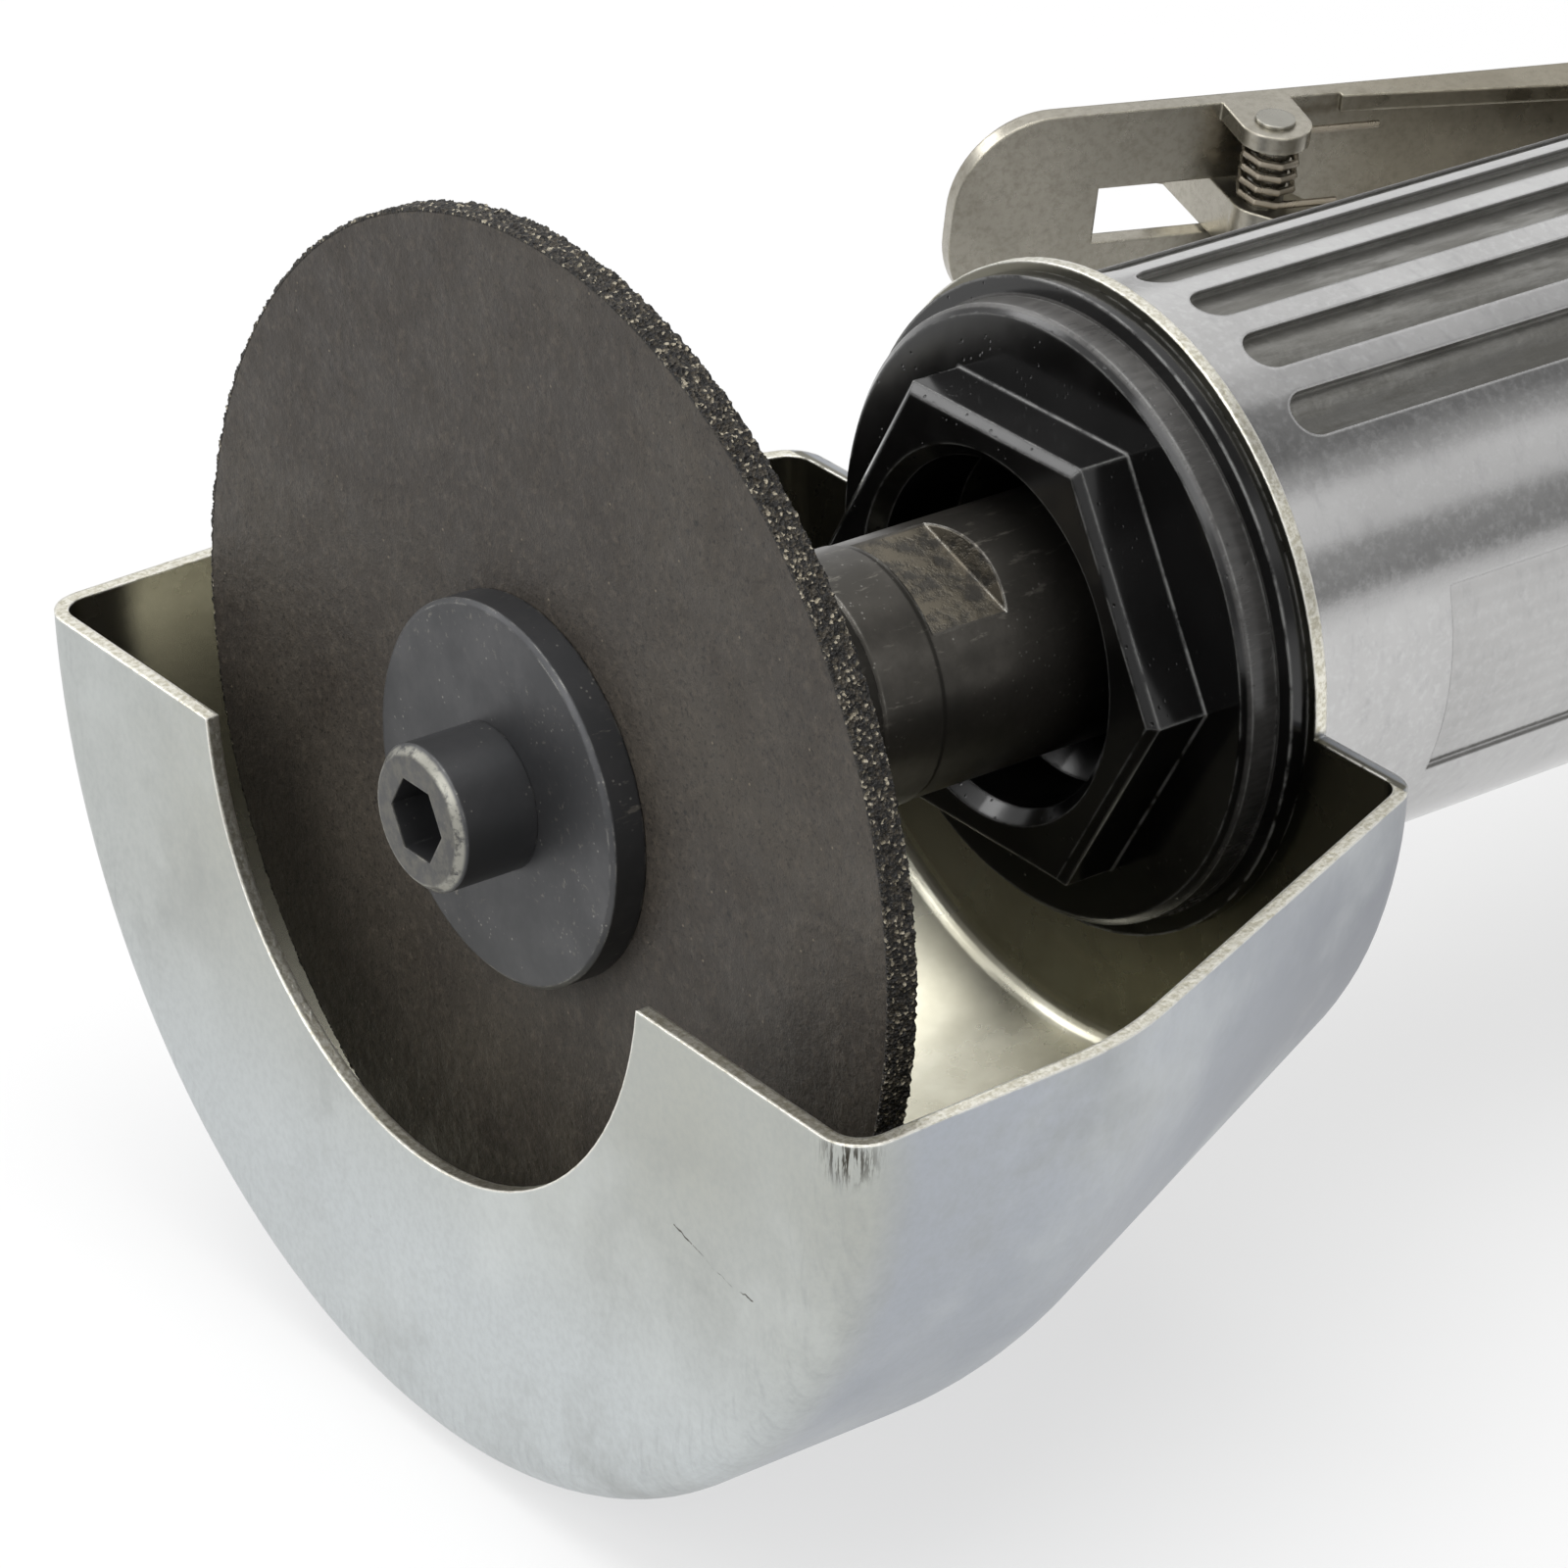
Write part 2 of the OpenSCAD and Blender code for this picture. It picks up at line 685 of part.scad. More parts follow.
module inner_flange() {
    color([0.22, 0.22, 0.23]) difference() {
        turned([[0, pilot_x], [pilot_r, pilot_x], [pilot_r, seat_x], [flange_r, seat_x],
            [flange_r, seat_x + inner_flange_t], [cone_front_r, cone_front_x],
            [cone_rear_r, cone_rear_x], [spindle_r + collar_over, collar_x], [0, collar_x]]);
        rod(wheel_front_x, stub_x + over, screw_r + air_gap);
        rod(stub_x, collar_x + over, stub_r + fit_gap);
    }
}

module cutting_wheel() {
    color([0.22, 0.20, 0.19]) ring(wheel_front_x, seat_x, arbor_r, wheel_r);
}

flange_chamfer = 0.3;
head_chamfer = 0.6;
hex_depth = 3.2;

module outer_flange() {
    color([0.27, 0.28, 0.29]) difference() {
        turned([[0, outer_flange_x], [flange_r - flange_chamfer, outer_flange_x],
            [flange_r, outer_flange_x + flange_chamfer],
            [flange_r, wheel_front_x], [0, wheel_front_x]]);
        rod(outer_flange_x - over, wheel_front_x + over, screw_r + air_gap);
    }
}

module cap_screw() {
    x0 = outer_flange_x - screw_head_h;
    color([0.20, 0.20, 0.21]) difference() {
        union() {
            turned([[0, x0], [screw_head_r - head_chamfer, x0], [screw_head_r, x0 + head_chamfer],
                [screw_head_r, outer_flange_x], [0, outer_flange_x]]);
            rod(outer_flange_x - sink, outer_flange_x + screw_len, screw_r);
        }
        hex_rod(x0 - over, x0 + hex_depth, hex_key);
    }
}

// The lever's plate runs behind its hinge by the heel; its walls taper from the ear to the front
lever_heel = 3;
wall_edge = [[lever_heel, 0], [lever_heel, lever_rise], [-46, lever_rise], [-46, lever_rise - 1.2],
    [-20, lever_rise - 3.2], [-11, 0.6], [-ear_r*0.5, -ear_r*0.86], [0, -ear_r]];

// The lever's outline seen from outside, with the hinge at the origin
module lever_outline() {
    straight = lever_reach - lever_corner_r;
    difference() {
        union() {
            translate([-straight, -lever_w/2]) square([straight + lever_heel, lever_w]);
            translate([-lever_reach, -lever_w/2 + lever_corner_r])
                square([lever_reach, lever_w - 2*lever_corner_r]);
            for (side = [-1, 1])
                translate([-straight, side*(lever_w/2 - lever_corner_r)])
                    circle(r = lever_corner_r);
        }
        translate([-window_front, -window_half]) square([window_front - window_rear, 2*window_half]);
    }
}

// One side wall of the lever, drawn in the plane of the hinge's axis
module lever_wall_outline() {
    difference() {
        union() {
            circle(r = ear_r);
            polygon(wall_edge);
            translate([-lock_reach, lever_rise - lock_drop]) circle(r = lock_ear_r);
            translate([-lock_reach - lock_ear_r, lever_rise - lock_drop]) square([2*lock_ear_r, lock_drop]);
        }
        circle(r = pin_r + fit_gap);
        translate([-lock_reach, lever_rise - lock_drop]) circle(r = lock_pin_r + press_gap);
    }
}

module throttle_lever() {
    color([0.62, 0.60, 0.55]) lever_rest() union() {
        translate([0, lever_rise + lever_t/2, 0]) rotate([90, 0, 0]) linear_extrude(height = lever_t)
            lever_outline();
        for (side = [-1, 1])
            translate([0, 0, side > 0 ? lever_w/2 - lever_t : -lever_w/2])
                linear_extrude(height = lever_t) lever_wall_outline();
    }
}

module lever_pin() {
    color([0.55, 0.55, 0.55]) lever_frame() translate([hinge_x, hinge_n, 0])
        cylinder(h = 2*pocket_half - air_gap, r = pin_r, center = true);
}

module lock_pin() {
    color([0.55, 0.55, 0.55]) lever_rest() translate([-lock_reach, lever_rise - lock_drop, 0])
        cylinder(h = lever_w + 2*lock_pin_proud, r = lock_pin_r, center = true);
}

// A point across and along an arm that leaves the pin at a turn from the lever's upward side
function on_arm(turn, across, along) = [across*cos(turn) - along*sin(turn),
    across*sin(turn) + along*cos(turn)];

// Outline of the lock-off lever: leg, hub, tab, the tab's bent pad, and the hub again
leg_turn = 180 + lock_lean;
pad_turn = tab_lean + pad_lean;
bend_at = on_arm(tab_lean, 0, tab_bend);
bend_corner = on_arm(tab_lean, tip_half, tip_half*tan(pad_lean/2));
lock_outline = concat(
    [on_arm(leg_turn, tip_half, lock_leg), on_arm(leg_turn, -tip_half, lock_leg)],
    arc(0, 0, lock_hub_r, lock_lean - 90 + arm_spread, 90 + tab_lean - arm_spread, 3),
    [bend_at + bend_corner, bend_at + on_arm(pad_turn, tip_half, pad_run),
        bend_at + on_arm(pad_turn, -tip_half, pad_run), bend_at - bend_corner],
    arc(0, 0, lock_hub_r, 90 + tab_lean + arm_spread, 270 + lock_lean - arm_spread, 8));

module lock_off_lever() {
    color([0.66, 0.64, 0.60]) lever_rest() translate([-lock_reach, lever_rise - lock_drop, 0])
        difference() {
            translate([0, 0, -lock_w/2]) linear_extrude(height = lock_w) polygon(lock_outline);
            cylinder(h = 2*lock_w, r = lock_pin_r + fit_gap, center = true);
        }
}

// Path of the torsion spring: a leg by the lock-off lever, the curls, and a leg along the lever
curl_r = lock_pin_r + wire_d/2 + air_gap;
curl_space = 0.5;
curl_pitch = wire_d + curl_space;
curl_z0 = lock_w/2 + wire_d/2 + air_gap;
curl_end_z = curl_z0 + curl_pitch*spring_curls;
curl_rings = 8;
leg_run = 5;
long_leg_run = 10;
spring_path = concat(
    [for (s = [leg_run:-2:1]) [s, -curl_r, curl_z0]],
    [for (i = [0:curl_rings*spring_curls]) let (turn = 270 - 360*i/curl_rings)
        [curl_r*cos(turn), curl_r*sin(turn), curl_z0 + curl_pitch*i/curl_rings]],
    [for (s = [1:3:long_leg_run]) [s, curl_r, curl_end_z]]);

module lock_spring() {
    color([0.7, 0.7, 0.7]) lever_rest() translate([-lock_reach, lever_rise - lock_drop, 0])
        tube(spring_path, [0, 0, 1], wire_d/2, 6);
}

module throttle_stem() {
    color([0.72, 0.62, 0.35]) lever_frame() union() {
        post(valve_x, seat_n - poppet_gap, stem_top_n - stem_r, stem_r);
        translate([valve_x, stem_top_n - stem_r, 0]) sphere(r = stem_r, $fn = 48);
        post(valve_x, poppet_n, seat_n - poppet_gap, poppet_r);
    }
}

module stem_seal() {
    color([0.05, 0.05, 0.05]) lever_frame() translate([valve_x, seat_n - poppet_gap/2, 0])
        rotate([90, 0, 0]) seal((port_r + poppet_r)/2, stem_seal_r);
}

valve_wire = 0.8;
valve_curls = 5;
valve_span = poppet_n - plug_top_n - valve_wire - 2*fit_gap;
valve_coil_r = 3.2;
valve_rings = curl_rings*valve_curls;
valve_path = [for (i = [0:valve_rings]) let (turn = 360*i/curl_rings) [valve_coil_r*cos(turn),
    plug_top_n + valve_wire/2 + fit_gap + valve_span*i/valve_rings, valve_coil_r*sin(turn)]];

module valve_spring() {
    color([0.7, 0.7, 0.7]) lever_frame() translate([valve_x, 0, 0])
        tube(valve_path, [0, 1, 0], valve_wire/2, 6);
}

module slotted_plug(x, n0, n1, r) {
    difference() {
        post(x, n0, n1, r);
        translate([x - plug_slot/2, n0 - over, -r - over])
            cube([plug_slot, plug_slot + over, 2*r + 2*over]);
    }
}

module valve_plug() {
    color([0.72, 0.60, 0.30]) lever_frame()
        slotted_plug(valve_x, -housing_r + 1, plug_top_n, valve_bore_r);
}

regulator_inset = 0.6;
metered_r = passage_r - 0.4;
seal_groove_n = 5 - housing_r;
seal_wire_r = 0.65;
groove_r = regulator_r - 2*seal_wire_r - fit_gap;

// The square groove that holds the regulator's seal
module seal_groove() {
    difference() {
        cylinder(h = 2*seal_wire_r + 2*fit_gap, r = regulator_r + over, center = true);
        cylinder(h = 2*over, r = groove_r, center = true);
    }
}

module air_regulator() {
    color([0.72, 0.60, 0.30]) lever_frame() difference() {
        slotted_plug(regulator_x, regulator_inset - housing_r, regulator_top_n - 2*fit_gap, regulator_r);
        rod(regulator_x - 2*regulator_r, regulator_x + 2*regulator_r, metered_r);
        translate([regulator_x, seal_groove_n, 0]) rotate([90, 0, 0]) seal_groove();
    }
}

module regulator_seal() {
    color([0.05, 0.05, 0.05]) lever_frame() translate([regulator_x, seal_groove_n, 0])
        rotate([90, 0, 0]) seal(regulator_r - seal_wire_r, seal_wire_r);
}

inlet_corner_r = inlet_af*0.57;
inlet_chamfer = 1.2;

module air_inlet() {
    color([0.75, 0.76, 0.78]) difference() {
        union() {
            intersection() {
                hex_rod(-inlet_hex_len, 0, inlet_af);
                turned([[0, -inlet_hex_len], [inlet_corner_r, -inlet_hex_len],
                    [inlet_corner_r, -inlet_chamfer], [inlet_af/2, 0], [0, 0]]);
            }
            rod(house_rear_x - inlet_thread_len, sink - inlet_hex_len, inlet_thread_r);
        }
        rod(-inlet_depth, over, inlet_r);
        rod(house_rear_x - inlet_thread_len - over, over, passage_r);
    }
}

cover_holes = 12;
cover_hole_r = 1.5;

module rear_cover() {
    color([0.12, 0.12, 0.13]) difference() {
        ring(house_rear_x, house_rear_x + cover_t, inlet_thread_r + air_gap, cover_r);
        for (i = [0:cover_holes - 1])
            rotate([(i + 0.5)*360/cover_holes, 0, 0]) translate([0, (muffler_in + cover_r)/2, 0])
                rod(house_rear_x - over, house_rear_x + cover_t + over, cover_hole_r);
    }
}

module muffler() {
    color([0.35, 0.34, 0.32]) ring(house_rear_x - muffler_depth + 2*fit_gap, house_rear_x - 2*fit_gap,
        muffler_in, cover_r - air_gap);
}

echo(least_gap_lock_spring = curl_gap(spring_path, 6, wire_d));
echo(least_gap_valve_spring = curl_gap(valve_path, 6, valve_wire));

housing();
guard();
clamp_nut();
clamp_washer();
front_end_plate();
cylinder_liner();
rear_end_plate();
locating_pin();
front_outer_race();
rear_outer_race();
front_bearing_balls();
rear_bearing_balls();
front_inner_race();
rear_inner_race();
rotor();
rotor_blade(0);  // rotor_blade_1
rotor_blade(1);  // rotor_blade_2
rotor_blade(2);  // rotor_blade_3
rotor_blade(3);  // rotor_blade_4
spindle();
inner_flange();
cutting_wheel();
outer_flange();
cap_screw();
throttle_lever();
lever_pin();
lock_off_lever();
lock_pin();
lock_spring();
throttle_stem();
stem_seal();
valve_spring();
valve_plug();
air_regulator();
regulator_seal();
air_inlet();
rear_cover();
muffler();
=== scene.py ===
# Looks of the in-line pneumatic cut-off tool: camera, studio light, materials and the wheel's gritty rim.
import json
import math
import random

import bpy
from mathutils import Matrix, Vector, noise


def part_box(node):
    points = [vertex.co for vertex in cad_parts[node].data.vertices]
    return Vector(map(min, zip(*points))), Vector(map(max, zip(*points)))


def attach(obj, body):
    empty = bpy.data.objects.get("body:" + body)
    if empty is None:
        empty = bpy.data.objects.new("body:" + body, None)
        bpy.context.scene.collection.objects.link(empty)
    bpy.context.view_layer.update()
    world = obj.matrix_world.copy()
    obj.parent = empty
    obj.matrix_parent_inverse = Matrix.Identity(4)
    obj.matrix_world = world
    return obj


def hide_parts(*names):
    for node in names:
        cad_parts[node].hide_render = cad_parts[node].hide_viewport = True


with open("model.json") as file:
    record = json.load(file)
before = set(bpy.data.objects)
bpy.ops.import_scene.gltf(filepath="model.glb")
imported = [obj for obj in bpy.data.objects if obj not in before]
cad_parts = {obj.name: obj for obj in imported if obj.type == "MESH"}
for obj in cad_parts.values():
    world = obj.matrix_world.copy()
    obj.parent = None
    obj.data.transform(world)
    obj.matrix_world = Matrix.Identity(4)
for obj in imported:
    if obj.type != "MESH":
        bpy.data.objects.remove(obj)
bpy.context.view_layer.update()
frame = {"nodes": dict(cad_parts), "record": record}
MM = 0.001


def rgb(r, g, b):
    return (r, g, b, 1.0)


# Places that the materials need, from the nodes' boxes and the part's source
GUARD_LOW, GUARD_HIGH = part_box("guard")
GUARD_R = -GUARD_LOW.z
GUARD_SHEET = 1.0*MM
GUARD_STRAIGHT = 21.4*MM
GUARD_TAPER = 0.377
GUARD_BEND_R = 3.0*MM
GUARD_EDGE_FRONT = 2.6*MM
GUARD_EDGE_REAR = 0.6*MM
GUARD_CUTOUT_R = 24.6*MM
GUARD_PLATE_TOP = GUARD_HIGH.z
HOUSING_R = 21.6*MM
FLUTE_PITCH = math.radians(15)
FLUTE_HOLLOW = 0.28*MM
FLUTES_END = -48*MM
WHEEL_R = 38.1*MM
NUT_FLANGE_R = 21.9*MM
NUT_MOUTH_R = 12.4*MM
SCREW_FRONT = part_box("cap_screw")[0].x
SCREW_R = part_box("cap_screw")[1].y
SPINDLE_R = 8.9*MM
FLAT_NEAR = 7.5*MM
FLAT_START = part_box("inner_flange")[1].x

# A hairline in the plating of the guard's front, by y and z in millimetres, and a scuff at its top corner
HAIRLINE = [(-28.7, -16.1), (-30.4, -16.3), (-32.6, -17.2), (-36.8, -17.4)]
HAIRLINE_WIDTH = 0.075*MM
HAIRLINE_WANDER = 0.25*MM
SCUFF = (GUARD_LOW.x + 1.0*MM, 1.6*MM - GUARD_R, -3.6*MM)
SCUFF_REACH = 2.6*MM

# Heights between which the painted light and shade on the guard change, outside and inside
GUARD_LIGHT_FADE = (-34*MM, -8*MM)
INSIDE_SHADE_FADE = (-30*MM, -12*MM)

# Where along the tool the lever's clean front turns brown
LEVER_FADE = (-78*MM, -64*MM)

# Camera, fitted to the photograph
AZIMUTH = math.radians(-37.33)
ELEVATION = math.radians(27.26)
ROLL = math.radians(0.72)
FOCAL_PX = 6423
IMAGE_PX = 1600
SENSOR_MM = 36
CAMERA_AT = Vector((-0.3769, -0.2968, 0.1861))
CLIP = (0.01, 20)


def make_camera():
    back = Vector((
        math.sin(AZIMUTH)*math.cos(ELEVATION),
        -math.cos(AZIMUTH)*math.cos(ELEVATION),
        math.sin(ELEVATION)))
    right = Vector((math.cos(AZIMUTH), math.sin(AZIMUTH), 0))
    up = back.cross(right)
    turn = Matrix((right, up, back)).transposed()
    turn = turn @ Matrix.Rotation(ROLL, 3, "Z")
    data = bpy.data.cameras.new("camera")
    data.sensor_width = SENSOR_MM
    data.lens = FOCAL_PX/IMAGE_PX*SENSOR_MM
    data.clip_start, data.clip_end = CLIP
    obj = bpy.data.objects.new("camera", data)
    bpy.context.scene.collection.objects.link(obj)
    obj.matrix_world = Matrix.Translation(CAMERA_AT) @ turn.to_4x4()
    bpy.context.scene.camera = obj


# Node helpers: the sockets of a Mix node, and the samples of a Bevel node for wear and for soft edges
COLOR_A, COLOR_B, COLOR_OUT = 6, 7, 2
FLOAT_A, FLOAT_B, FLOAT_OUT = 2, 3, 0
EDGE_SAMPLES = 6
SOFT_SAMPLES = 4

# How far the rounded direction of a surface turns from its own, from where an edge starts to a full edge
EDGE_TURN = (0.02, 0.16)

# The shares of a spot's reach and of a line's width that it covers fully
NEAR_CORE = 0.15
LINE_CORE = 0.4


class Tree:
    """The node tree of a material or a world, with short calls for the nodes used here."""

    def __init__(self, owner):
        owner.use_nodes = True
        self.nodes = owner.node_tree.nodes
        self.links = owner.node_tree.links
        self.nodes.clear()

    def put(self, socket, value):
        """A number, a colour or a link into a socket."""
        if isinstance(value, (int, float, tuple)):
            socket.default_value = value
        else:
            self.links.new(value, socket)

    def add(self, kind, **sockets):
        """A new shader node with some of its sockets filled."""
        node = self.nodes.new("ShaderNode" + kind)
        for name, value in sockets.items():
            self.put(node.inputs[name.replace("_", " ")], value)
        return node

    def math(self, kind, a, b=0.0):
        node = self.add("Math")
        node.operation = kind
        self.put(node.inputs[0], a)
        self.put(node.inputs[1], b)
        return node.outputs[0]

    def mix(self, factor, a, b):
        """A colour between two colours."""
        node = self.add("Mix", Factor=factor)
        node.data_type = "RGBA"
        self.put(node.inputs[COLOR_A], a)
        self.put(node.inputs[COLOR_B], b)
        return node.outputs[COLOR_OUT]


class Graph(Tree):
    """A surface. Masks run from 0 to 1, and paint() lays one colour over another.

    The shading rounds the edges by the radius soft_edge, where it is given.
    """

    def __init__(self, name, soft_edge=None, **settings):
        self.mat = bpy.data.materials.new(name)
        super().__init__(self.mat)
        self.bsdf = self.add("BsdfPrincipled", **settings)
        self.add("OutputMaterial", Surface=self.bsdf.outputs["BSDF"])
        self.coord = self.add("TexCoord").outputs["Object"]
        self.color = None
        self.normal = self.bevel(soft_edge, SOFT_SAMPLES) if soft_edge else None

    def mapping(self, scale=(1, 1, 1), offset=(0, 0, 0)):
        return self.add("Mapping", Vector=self.coord, Scale=scale, Location=offset).outputs["Vector"]

    def noise(self, scale, detail=4, rough=0.55, vector=None):
        node = self.add("TexNoise", Vector=vector or self.coord, Scale=scale, Detail=detail, Roughness=rough)
        return node.outputs["Fac"]

    def strokes(self, scales, detail=4, rough=0.65):
        """Noise that is drawn out along the axes with the smaller scales."""
        return self.noise(1, detail, rough, self.mapping(scales))

    def cells(self, scale):
        return self.add("TexVoronoi", Vector=self.coord, Scale=scale).outputs

    def span(self, value, low, high, out_low=0.0, out_high=1.0):
        """From out_low to out_high while the value goes from low to high."""
        node = self.add(
            "MapRange", Value=value, From_Min=low, From_Max=high, To_Min=out_low, To_Max=out_high)
        node.interpolation_type = "SMOOTHSTEP"
        return node.outputs["Result"]

    def below(self, value, low, high):
        """1 below low and 0 above high."""
        return self.span(value, low, high, 1.0, 0.0)

    def patches(self, scale, low, high, detail=4, rough=0.55):
        """1 where a noise is above high, 0 where it is below low."""
        return self.span(self.noise(scale, detail, rough), low, high)

    def dots(self, scale, small, large):
        """1 in the small middle of each cell."""
        return self.below(self.cells(scale)["Distance"], small, large)

    def lerp(self, factor, a, b):
        """A number between two numbers."""
        node = self.add("Mix", Factor=factor)
        node.data_type = "FLOAT"
        self.put(node.inputs[FLOAT_A], a)
        self.put(node.inputs[FLOAT_B], b)
        return node.outputs[FLOAT_OUT]

    def axis(self, which):
        return self.add("SeparateXYZ", Vector=self.coord).outputs[which]

    def radius(self):
        """Distance from the tool's axis."""
        y = self.axis("Y")
        z = self.axis("Z")
        return self.math("SQRT", self.math("ADD", self.both(y, y), self.both(z, z)))

    def both(self, *masks):
        """The product of several masks."""
        out = masks[0]
        for mask in masks[1:]:
            out = self.math("MULTIPLY", out, mask)
        return out

    def most(self, *masks):
        """The largest of several masks."""
        out = masks[0]
        for mask in masks[1:]:
            out = self.math("MAXIMUM", out, mask)
        return out

    def past(self, value, limit):
        """How far a value is past a limit, and 0 before it."""
        return self.math("MAXIMUM", self.math("SUBTRACT", value, limit), 0.0)

    def near(self, place, reach):
        """1 at a place, 0 beyond its reach."""
        node = self.add("VectorMath")
        node.operation = "DISTANCE"
        self.put(node.inputs[0], self.coord)
        self.put(node.inputs[1], place)
        return self.below(node.outputs["Value"], NEAR_CORE*reach, reach)

    def crack(self, points, width):
        """1 along a thin wandering line through points on the guard's front."""
        wander = self.span(self.noise(420, 3), 0.3, 0.7, -HAIRLINE_WANDER, HAIRLINE_WANDER)
        y = self.math("ADD", self.axis("Y"), wander)
        z = self.math("ADD", self.axis("Z"), wander)
        lines = []
        for (y0, z0), (y1, z1) in zip(points, points[1:]):
            length = math.hypot(y1 - y0, z1 - z0)*MM
            along = ((y1 - y0)*MM/length, (z1 - z0)*MM/length)
            dy = self.math("SUBTRACT", y, y0*MM)
            dz = self.math("SUBTRACT", z, z0*MM)
            run = self.math("ADD", self.both(dy, along[0]), self.both(dz, along[1]))
            off = self.math("SUBTRACT", self.both(dy, along[1]), self.both(dz, along[0]))
            lines.append(self.both(
                self.below(self.math("ABSOLUTE", off), LINE_CORE*width, width),
                self.span(run, 0.0, width),
                self.below(run, length - width, length)))
        front = self.below(self.axis("X"), GUARD_LOW.x + 0.2*MM, GUARD_LOW.x + 0.4*MM)
        return self.both(self.most(*lines), front)

    def bevel(self, radius, samples):
        node = self.add("Bevel", Radius=radius)
        node.samples = samples
        return node.outputs["Normal"]

    def edge(self, radius):
        """1 along sharp edges, 0 on open faces."""
        dot = self.add("VectorMath")
        dot.operation = "DOT_PRODUCT"
        self.put(dot.inputs[0], self.bevel(radius, EDGE_SAMPLES))
        self.put(dot.inputs[1], self.add("NewGeometry").outputs["Normal"])
        return self.span(self.math("SUBTRACT", 1.0, dot.outputs["Value"]), *EDGE_TURN)

    def paint(self, mask, color, share=1.0):
        """Lays a colour over the surface's colour, wholly or by a share, where the mask is 1."""
        if share < 1.0:
            mask = self.math("MULTIPLY", mask, share)
        self.color = self.mix(mask, self.color, color)

    def bump(self, height, depth, strength=1.0):
        """Adds a relief to those that the surface has."""
        node = self.add("Bump", Distance=depth, Strength=strength, Height=height)
        if self.normal:
            self.put(node.inputs["Normal"], self.normal)
        self.normal = node.outputs["Normal"]

    def done(self, rough):
        self.put(self.bsdf.inputs["Base Color"], self.color)
        self.put(self.bsdf.inputs["Roughness"], rough)
        if self.normal:
            self.put(self.bsdf.inputs["Normal"], self.normal)
        return self.mat


# Guard
ZINC_DULL = rgb(0.455, 0.475, 0.465)
ZINC_CLEAR = rgb(0.555, 0.585, 0.58)
ZINC_PAINTED_LIGHT = rgb(0.60, 0.635, 0.65)
ZINC_WARM_SHADE = rgb(0.445, 0.452, 0.405)
SKIRT_SHADED_DULL = rgb(0.40, 0.425, 0.465)
SKIRT_SHADED_CLEAR = rgb(0.46, 0.485, 0.525)
TAPER_SHADE = rgb(0.26, 0.27, 0.30)
ZINC_GRAIN = rgb(0.33, 0.345, 0.35)
ZINC_SMUDGE = rgb(0.31, 0.32, 0.31)
ZINC_HAZE = rgb(0.68, 0.71, 0.70)
RUST_SPECK = rgb(0.07, 0.05, 0.03)
HAIRLINE_DARK = rgb(0.08, 0.07, 0.06)
BEND_MARKS = rgb(0.22, 0.23, 0.25)
SCUFF_DARK = rgb(0.05, 0.045, 0.035)
LINING_DULL = rgb(0.50, 0.48, 0.38)
LINING_CLEAR = rgb(0.74, 0.72, 0.60)
LINING_SHADE = rgb(0.10, 0.095, 0.075)
CUT_DULL = rgb(0.56, 0.53, 0.42)
CUT_BRIGHT = rgb(0.86, 0.84, 0.75)
RUBBED_ZINC = rgb(0.96, 0.95, 0.90)
BARE_ROUGH = 0.3


def guard_cut_edges(g):
    """1 on the sheared edges of the guard's sheet: trim line, cut-out and the rear plate's round top."""
    x = g.axis("X")
    z = g.axis("Z")
    radius = g.radius()
    slope = (GUARD_EDGE_FRONT - GUARD_EDGE_REAR)/(GUARD_HIGH.x - GUARD_LOW.x)
    line = g.math("MULTIPLY", g.math("SUBTRACT", x, GUARD_LOW.x), slope)
    above = g.math("SUBTRACT", g.math("ADD", z, GUARD_EDGE_FRONT), line)
    rear_plate = GUARD_HIGH.x - GUARD_SHEET
    trim = g.both(g.span(above, -0.12*MM, -0.03*MM), g.below(x, rear_plate - 0.2*MM, rear_plate))
    cutout = g.both(
        g.below(radius, GUARD_CUTOUT_R + 0.04*MM, GUARD_CUTOUT_R + 0.12*MM),
        g.below(x, GUARD_LOW.x + 1.2*MM, GUARD_LOW.x + 1.4*MM))
    plate_top = g.both(
        g.span(radius, GUARD_PLATE_TOP - 0.12*MM, GUARD_PLATE_TOP - 0.05*MM),
        g.span(z, -0.6*MM, 0.0),
        g.span(x, rear_plate - 0.1*MM, rear_plate))
    return g.most(trim, cutout, plate_top)


def guard_inside(g):
    """1 on the faces inside the guard, by the distance from the middle line of its rounded front corner."""
    x = g.axis("X")
    narrowing = g.math("MULTIPLY", g.past(x, GUARD_LOW.x + GUARD_STRAIGHT), GUARD_TAPER)
    skirt = g.math("SUBTRACT", GUARD_R - GUARD_BEND_R, narrowing)
    outward = g.past(g.radius(), skirt)
    forward = g.past(GUARD_LOW.x + GUARD_BEND_R, x)
    reach = g.math("SQRT", g.math("ADD", g.both(outward, outward), g.both(forward, forward)))
    middle = GUARD_BEND_R - GUARD_SHEET/2
    return g.both(
        g.below(reach, middle - 0.2*MM, middle),
        g.below(x, GUARD_HIGH.x - 0.7*MM, GUARD_HIGH.x - 0.4*MM))


